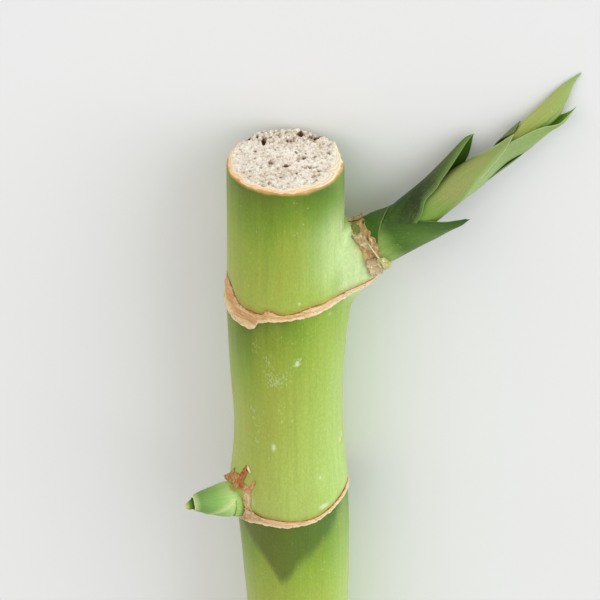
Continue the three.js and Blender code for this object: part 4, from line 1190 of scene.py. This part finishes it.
def make_spear():
    """The innermost leaf, still rolled on itself: its free edge shows as a step down the roll."""
    slot, material = LEAF_LOOKS["shoot_spear"]
    seed = 3
    run = np.linspace(SPEAR_FOOT, SPEAR_TIP, SPEAR_RINGS)[:, None]
    turn = np.linspace(0, 1, SPEAR_COLUMNS)[None, :]
    angle = along(SPEAR_EDGE, run) + 360 * turn
    lap = 1.0 - 0.14 * (1 - turn) ** 6
    breadth, depth = along(SPEAR_BREADTH, run) * lap, along(SPEAR_DEPTH, run) * lap
    every = 0 * angle
    points = shoot_point(run + every, angle, breadth, depth, along(SPEAR_SHIFT, run) + every)
    place = np.stack([run + every, turn * np.pi * 3.2 + every, every + seed], -1).reshape(-1, 3)
    margin = (1 - turn) * np.pi * 2 * along(SPEAR_BREADTH, run)
    inner = 0.45 * ease(turn, 0.26, 0.0) + every
    return dress(make_piece(
        "blade_spear", np.concatenate([points.reshape(-1, 3), [points[0].mean(0), points[-1].mean(0)]]),
        capped(SPEAR_RINGS, SPEAR_COLUMNS), [material],
        place=np.concatenate([place, [[SPEAR_FOOT, 0, seed], [SPEAR_TIP, 0, seed]]]),
        margin=np.concatenate([margin.ravel(), [1, 0.1]]), inner=np.concatenate([inner.ravel(), [0, 0]]),
    ), slot, "shoot_spear")


# Dry bracts

def flake(outline, place, lift, crumple, curl, seed, thickness=0.22, fold=0.9, rag=1.0):
    """A dry flake lying on a surface: outline in that surface's own two coordinates, place(u, v, lift)
    puts a point on it. Its upper skin is crumpled and its edge turns up."""
    keys = np.asarray(outline, float)
    middle = keys.mean(0)
    position = np.linspace(0, len(keys), FLAKE_SIDES, endpoint=False)
    wrapped = np.vstack([keys[-2:], keys, keys[:3]])
    order = np.arange(len(wrapped)) - 2.0
    rim = np.stack([along(np.stack([order, wrapped[:, k]], -1), position) for k in (0, 1)], -1)
    near = place(rim[:, 0], rim[:, 1], 0 * position)
    ragged = 1 + rag * (0.09 * noise(near, 0.55, seed) + 0.05 * noise(near, 0.25, seed + 1))
    top, low, shares, folds = [], [], [], []
    for share in np.linspace(1, 0, FLAKE_RINGS + 1)[:-1]:
        at = middle + (rim - middle) * (share * ragged)[:, None]
        flat = place(at[:, 0], at[:, 1], 0 * position)
        wrinkle = 1 - 2.2 * np.abs(noise(flat, fold, seed + 2))
        wrinkle = 0.7 * wrinkle + 0.3 * (1 - 2.2 * np.abs(noise(flat, fold * 0.45, seed + 3)))
        height = lift + crumple * wrinkle + curl * share**5 * (0.6 + 0.6 * noise(flat, 1.2, seed + 4))
        top.append(place(at[:, 0], at[:, 1], height))
        low.append(place(at[:, 0], at[:, 1], height - thickness * (0.35 + 0.65 * (1 - share**3))))
        shares.append(np.full(FLAKE_SIDES, share))
        # The fold field carries painted light and shade: creases dark, folds pale
        folds.append(np.clip(0.5 + 0.5 * wrinkle, 0, 1))
    points = np.concatenate([*low[::-1], *top, [low[-1].mean(0), top[-1].mean(0)]])
    shares = np.concatenate([*shares[::-1], *shares, [0, 0]])
    folds = np.concatenate([*folds[::-1], *folds, [0.5, 0.5]])
    return points, capped(2 * FLAKE_RINGS, FLAKE_SIDES), shares, folds


def join_flakes(name, flakes, slot, *nodes):
    """Several flakes as one piece. Each is its finish, and then what flake() returns."""
    finishes = list(dict.fromkeys(finish for finish, *_ in flakes))
    faces, slots, count = [], [], 0
    for finish, points, own_faces, _, _ in flakes:
        faces += [tuple(count + k for k in face) for face in own_faces]
        slots += [finishes.index(finish)] * len(own_faces)
        count += len(points)
    points, shares, folds = (np.concatenate([made[k] for made in flakes]) for k in (1, 3, 4))
    piece = make_piece(name, points, faces, finishes, slots, share=shares, fold=folds, place=points)
    return dress(piece, slot, *nodes)


def on_shoot(run, angle, lift):
    return shoot_point(run, angle, COLLAR_RADIUS + lift)


def on_cane(station, angle, lift):
    return cane_point(station, angle, cane_radius(station, angle) + lift)


def on_bud_shoulder(station, angle, lift):
    return on_cane(station, angle, lift + 1.1 * ease(-angle, 70, 87))


# The band of dead bract round the shoot's foot: where it starts and ends along the shoot, by angle.
BAND_START = [
    [-180, -0.9], [-90, -1.2], [-60, -0.6], [-36, -0.3], [0, 0.2], [30, -0.1], [60, -0.5], [90, -0.6],
    [140, -0.4],
]
BAND_END = [
    [-180, 2.4], [-90, 1.9], [-60, 2.6], [-18, 2.9], [6, 3.3], [27, 2.5], [60, 2.5], [90, 2.4], [140, 2.6],
]

# Each flake: its finish, the surface it lies on, its outline there, its lift, crumple, curl and seed, and
# what else is its own.
COLLAR_FLAKES = [
    (PAPER_GREEN, on_shoot,
     [(-0.6, -56), (0.6, -57), (1.4, -47), (1.2, -34), (0.7, -22), (-0.2, -24), (-0.9, -38)],
     (0.27, 0.1, 0.0, 61), {"rag": 1.6}),
    (PAPER_PINK, on_shoot,
     [(0.0, -27), (0.6, -29), (1.4, -28), (2.2, -16), (2.4, -3), (2.2, 14), (1.3, 6), (0.5, -6), (0.0, -20)],
     (0.34, 0.26, 0.3, 64), {"rag": 1.8}),
    (PAPER_TAN, on_shoot,
     [(2.7, -20), (3.2, -4), (3.4, 6), (2.9, 18), (2.3, 22), (2.0, 8), (2.1, -6)],
     (0.2, 0.16, 0.25, 67), {"rag": 1.8}),
    (PAPER_BRIGHT, on_shoot,
     [(1.75, -14), (2.0, -6), (2.2, 4), (2.34, 16), (2.38, 30), (2.18, 31), (2.08, 16), (1.98, 2)],
     (0.58, 0.1, 0.12, 70), {"thickness": 0.16}),
    (PAPER_AMBER, on_shoot,
     [(0.3, 6), (0.8, 12), (0.9, 26), (0.1, 30), (-0.2, 18)],
     (0.26, 0.06, 0.05, 73), {"rag": 1.8}),
    (PAPER_PINK, on_shoot,
     [(1.2, 23), (2.0, 33), (1.9, 54), (1.0, 80), (0.2, 92), (-0.6, 86), (-0.7, 60), (-0.5, 39), (0.1, 25)],
     (0.4, 0.28, 0.35, 76), {"rag": 1.8}),
    (PAPER_LOBE, on_shoot,
     [(1.9, 28), (2.8, 33), (3.2, 48), (3.0, 66), (2.3, 82), (1.3, 84), (1.1, 60), (1.3, 42)],
     (0.3, 0.16, 0.16, 79), {"rag": 1.9}),
    (PAPER_TAN, on_shoot,
     [(-0.6, -92), (0.6, -98), (2.0, -92), (2.5, -72), (1.3, -62), (0.1, -66), (-0.6, -74)],
     (0.3, 0.26, 0.4, 82), {"rag": 1.8}),
]
BUD_FLAKES = [
    (PAPER_OCHRE, on_bud_shoulder,
     [(82.8, -86.5), (83.8, -81.5), (84.9, -76.5), (86.0, -72), (87.5, -66.8), (86.8, -67.2), (86.0, -66.8),
      (86.2, -63.5), (85.0, -62), (84.0, -66), (83.5, -72), (83.0, -79)],
     (0.12, 0.07, 0.06, 101), {"thickness": 0.22, "fold": 0.6, "rag": 0.8}),
    (PAPER_OCHRE, on_cane,
     [(84.6, -70), (85.7, -68), (86.7, -64.5), (87.0, -59), (86.9, -54), (86.2, -51), (85.0, -50),
      (84.2, -54), (84.0, -62)],
     (0.1, 0.06, 0.03, 107), {"thickness": 0.2, "fold": 0.6, "rag": 2.2}),
    (PAPER_RUST, on_cane,
     [(85.4, -58), (87.1, -56.5), (88.6, -53), (89.8, -48.3), (88.6, -47.2), (87.2, -49.4), (86.0, -51.5),
      (85.0, -53)],
     (0.14, 0.1, 0.08, 104), {"thickness": 0.2, "fold": 0.5, "rag": 2.2}),
    (PAPER_SALMON, on_cane,
     [(84.4, -49), (85.2, -50), (85.9, -49.6), (85.6, -47.5), (85.5, -44), (86.2, -41), (87.5, -37.3),
      (87.0, -36), (85.9, -38.4), (84.9, -41), (84.2, -45)],
     (0.09, 0.08, 0.08, 110), {"thickness": 0.18, "fold": 0.5, "rag": 0.9}),
    (PAPER_BLUSH, on_cane,
     [(84.5, -48.5), (84.6, -43), (83.0, -41.5), (81.0, -42.5), (79.8, -41), (79.2, -46), (79.6, -52),
      (81.6, -51), (83.2, -50.5)],
     (0.1, 0.08, 0.08, 116), {"thickness": 0.2}),
    (PAPER_BLUSH, on_cane,
     [(79.9, -54), (80.5, -47), (80.3, -40), (79.7, -33), (78.9, -36), (77.9, -48), (76.6, -60), (76.3, -74),
      (77.4, -72), (77.8, -62)],
     (0.26, 0.18, 0.12, 119), {"fold": 0.7, "rag": 1.6}),
    (PAPER_BRIGHT, on_cane,
     [(89.8, -48.4), (90.2, -46.8), (89.9, -44), (89.2, -41.6), (88.9, -42.6), (89.3, -45.6)],
     (0.14, 0.05, 0.14, 122), {"thickness": 0.16}),
    (PAPER_OCHRE, on_cane,
     [(82.9, -86), (83.5, -91), (83.0, -97), (81.8, -101), (80.6, -98), (80.2, -91), (81.6, -86)],
     (0.1, 0.06, 0.08, 125), {"thickness": 0.2, "fold": 0.6, "rag": 2.0}),
]


def flakes_of(rows):
    return [(finish, *flake(line, place, *sizes, **own)) for finish, place, line, sizes, own in rows]


def collar_band():
    """The closed band of dead bract round the shoot's foot."""
    angle = np.arange(BAND_SIDES) * 360 / BAND_SIDES - 180
    start, end = around(BAND_START, angle), around(BAND_END, angle)
    edge = on_shoot(end, angle, 0 * angle)
    end = end + 0.3 * noise(edge, 0.8, 31) + 0.16 * noise(edge, 0.35, 32)
    top, low, shares, folds = [], [], [], []
    for share in np.linspace(0, 1, BAND_RINGS):
        run = start + (end - start) * share
        flat = on_shoot(run, angle, 0 * angle)
        wrinkle = 1 - 2.3 * np.abs(noise(flat * [0.5, 1, 1], 0.7, 33))
        wrinkle = 0.65 * wrinkle + 0.35 * (1 - 2.2 * np.abs(noise(flat, 0.4, 34)))
        flare = 0.35 * (1 - share) ** 2
        radius = 4.82 + flare + 0.18 * wrinkle + 0.1 * noise(flat, 2.2, 35)
        top.append(shoot_point(run, angle, radius))
        low.append(shoot_point(run, angle, radius - 0.28))
        shares.append(np.full(BAND_SIDES, 0.6 * abs(2 * share - 1) ** 3 + 0.25))
        # The fold field carries painted light and shade: creases dark, folds pale
        folds.append(np.clip(0.5 + 0.5 * wrinkle, 0, 1))
    faces = looped(2 * BAND_RINGS, BAND_SIDES).tolist()
    return (np.concatenate(top + low[::-1]), faces, np.concatenate(shares + shares[::-1]),
            np.concatenate(folds + folds[::-1]))


# Bud

def bud_axes():
    """Where the bud's own line starts, and three directions: along it, up the cane and to the viewer."""
    angle, lean = math.radians(BUD_ANGLE), math.radians(BUD_LEAN)
    way = np.array([0, -math.sin(angle), math.cos(angle)]) * math.cos(lean)
    way[0] = math.sin(lean)
    start = BUD_STATION - along(GIRTH, BUD_STATION) * math.tan(lean)
    up = np.array([1.0, 0, 0]) - way * way[0]
    up /= np.linalg.norm(up)
    return cane_point(start, 0.0, 0.0), way, up, np.cross(up, way)


BUD_ORIGIN, BUD_WAY, BUD_UP, BUD_NEAR = bud_axes()
BUD_BEND = [[9, 0.1], [13.6, 0.22], [16.8, 0.36], [18.6, 0.48], [19.8, 0.36], [20.6, 0.05], [21.4, -0.3]]


def bud_point(u, turn, radius):
    """Turn 0 is the viewer's side of the bud and 90 the side up the cane."""
    a = np.radians(turn)
    bend = along(BUD_BEND, u)
    return (BUD_ORIGIN + BUD_WAY * np.asarray(u)[..., None] + BUD_UP * (bend + radius * np.sin(a))[..., None]
            + BUD_NEAR * (radius * np.cos(a))[..., None])


def bud_shell(name, node, slot, material, outer, inner, lip, seed, seam=None):
    """A closed scale turned about the bud's line: outer and inner are [run, radius] keys from its foot
    to its mouth. lip waves the mouth, and seam is the line of the side that laps over."""
    turn = np.arange(BUD_SIDES) * 360 / BUD_SIDES - 180
    mouth = outer[-1][0]
    ripple = noise(np.stack([turn / 40, 0 * turn], -1), 1.0, seed)
    wave = lip * (0.6 * np.cos(np.radians(turn - 60)) + 0.5 * ripple)
    rows, place, margin, inside, stain = [], [], [], [], []
    for keys, shares, steepness, is_inner in (
        (outer, np.linspace(0, 1, BUD_OUTER_RINGS), 1.0, 0.0),
        (inner, np.linspace(1, 0, BUD_INNER_RINGS), 3.0, 1.0),
    ):
        for share in shares:
            level = keys[0][0] + (mouth - keys[0][0]) * share
            u = level + wave * share**4
            radius = along(keys, level) + 0 * turn
            gap = 0 * turn + 3.0
            if not is_inner:
                body = np.stack([u, np.radians(turn) * radius, 0 * turn], -1)
                radius = radius + 0.05 * noise(body * [0.35, 1, 1], 0.9, seed + 1) * ease(share, 0, 0.1)
            if seam and not is_inner:
                arc = np.radians(wrap(turn - along(seam, u))) * radius
                lap = ease(arc, -0.12, 0.12) * ease(-arc, -6.0, 0.5) * ease(-u, -18.5, -17.0)
                radius = radius + 0.24 * lap
                gap = np.abs(arc)
            rows.append(bud_point(u, turn, radius))
            place.append(np.stack([u, np.radians(turn) * 2.6, 0 * turn + seed], -1))
            margin.append(np.minimum(gap, (mouth + wave - u) * steepness + 0.02))
            inside.append(0 * turn + is_inner)
            blotch = 1.0 + 0.9 * noise(np.stack([u * 2.4, np.radians(turn) * 7], -1), 1.0, 17)
            stain.append(blotch * hump((u - 12.6) / 0.75, (turn - 72) / 17))
    points = np.concatenate([*rows, [rows[0].mean(0), rows[-1].mean(0)]])
    ends = [[keys[0][0], 0, 0] for keys in (outer, inner)]
    return dress(make_piece(
        name, points, capped(len(rows), BUD_SIDES, flip=True), [material],
        place=np.concatenate([*place, ends]), margin=np.concatenate([*margin, [3, 3]]),
        inner=np.concatenate([*inside, [0, 1]]), tan=np.concatenate([*stain, [0, 0]]),
    ), slot, node)


def make_bud():
    bud_shell(
        "bud_outer_scale", "bud_main_scale", "bud", BUD_GREEN,
        [[11.2, 2.95], [12.4, 3.2], [13.4, 3.28], [14.6, 3.02], [16.6, 2.44], [18.4, 1.96], [19.4, 1.62],
         [19.85, 1.32]],
        [[18.0, 0.7], [19.2, 1.0], [19.85, 1.16]], 0.2, 3,
        [[11.5, 40], [12.9, 26], [13.8, 12], [14.8, -2], [15.8, -20], [17, -46], [18.5, -84], [20, -125]],
    )
    bud_shell(
        "bud_collar_scale", "bud_base_scale", "bud", BUD_COLLAR,
        [[9.4, 3.1], [10.4, 3.4], [11.3, 3.5], [12.0, 3.42], [12.3, 3.32]],
        [[11.6, 3.1], [12.3, 3.26]], 0.3, 8,
    )
    bud_shell(
        "bud_point", "bud_tip", "bud_tip", BUD_POINT,
        [[18.0, 0.5], [19.2, 1.0], [20.2, 0.9], [20.8, 0.67], [21.1, 0.42], [21.28, 0.18]],
        [[20.5, 0.08], [21.1, 0.14], [21.28, 0.16]], 0.2, 13,
    )


# Stage

FLOOR_REACH, FLOOR_DROP, FLOOR_STEPS = 6.0, 0.00003, 8
WORLD_STRENGTH, KEY_STRENGTH, FILL_STRENGTH, LAMP_SPREAD = 0.76, 2.0, 0.6, 60


def make_stage():
    mesh = bpy.data.meshes.new("studio_floor")
    line = np.linspace(-FLOOR_REACH, FLOOR_REACH, FLOOR_STEPS)
    x, y = np.meshgrid(line, line, indexing="ij")
    points = np.stack([x, y, np.full_like(x, -FLOOR_DROP)], -1).reshape(-1, 3)
    mesh.from_pydata(points.tolist(), [], grid_faces(FLOOR_STEPS, FLOOR_STEPS, flip=True).tolist())
    mesh.materials.append(stage_surface())
    floor = bpy.data.objects.new("studio_floor", mesh)
    bpy.context.collection.objects.link(floor)


def make_sun(name, way, strength, tint):
    """A soft lamp far away: way points from the piece to the lamp, in the photograph's own directions."""
    direction = Vector(view_right) * way[0] + Vector(view_up) * way[1] + Vector(view_back) * way[2]
    lamp = bpy.data.lights.new(name, "SUN")
    lamp.energy = strength
    lamp.angle = math.radians(LAMP_SPREAD)
    lamp.color = colour(tint)[:3]
    made = bpy.data.objects.new(name, lamp)
    made.rotation_mode = "QUATERNION"
    made.rotation_quaternion = direction.to_track_quat("Z", "Y")
    bpy.context.collection.objects.link(made)


def make_light():
    world = bpy.data.worlds.new("pale_studio")
    world.use_nodes = True
    sky = world.node_tree.nodes["Background"].inputs
    sky["Color"].default_value = colour("#f1f1f2")
    sky["Strength"].default_value = WORLD_STRENGTH
    bpy.context.scene.world = world
    make_sun("key_from_the_right", (0.86, 0.05, 0.68), KEY_STRENGTH, "#f6fdff")
    make_sun("fill_from_the_left", (-0.75, 0.3, 0.7), FILL_STRENGTH, "#fff4e4")


make_stage()
make_light()
top_pith, low_pith = make_cane()
scatterer = crumb_tree()
make_crumbs(scatterer, "pith_crumbs_top", *top_pith, seed=4, radius=0.34)
make_crumbs(scatterer, "pith_crumbs_bottom", *low_pith, seed=9, radius=0.2)
for scar_name, (scar_upper, scar_lower) in SCARS.items():
    make_scar(scar_name, scar_upper, scar_lower, 0.5 if scar_name == "leaf_scar_middle" else 0.0)
join_flakes(
    "collar_bract", [(PAPER_TAN, *collar_band()), *flakes_of(COLLAR_FLAKES)], "dry_bract", "shoot_bract",
)
for number, (leaf_name, leaf) in enumerate(LEAVES.items()):
    make_leaf(leaf_name, leaf, number + 1)
make_spear()
make_bud()
join_flakes("bud_dry_bract", flakes_of(BUD_FLAKES), "red_bract", "bud_bract")
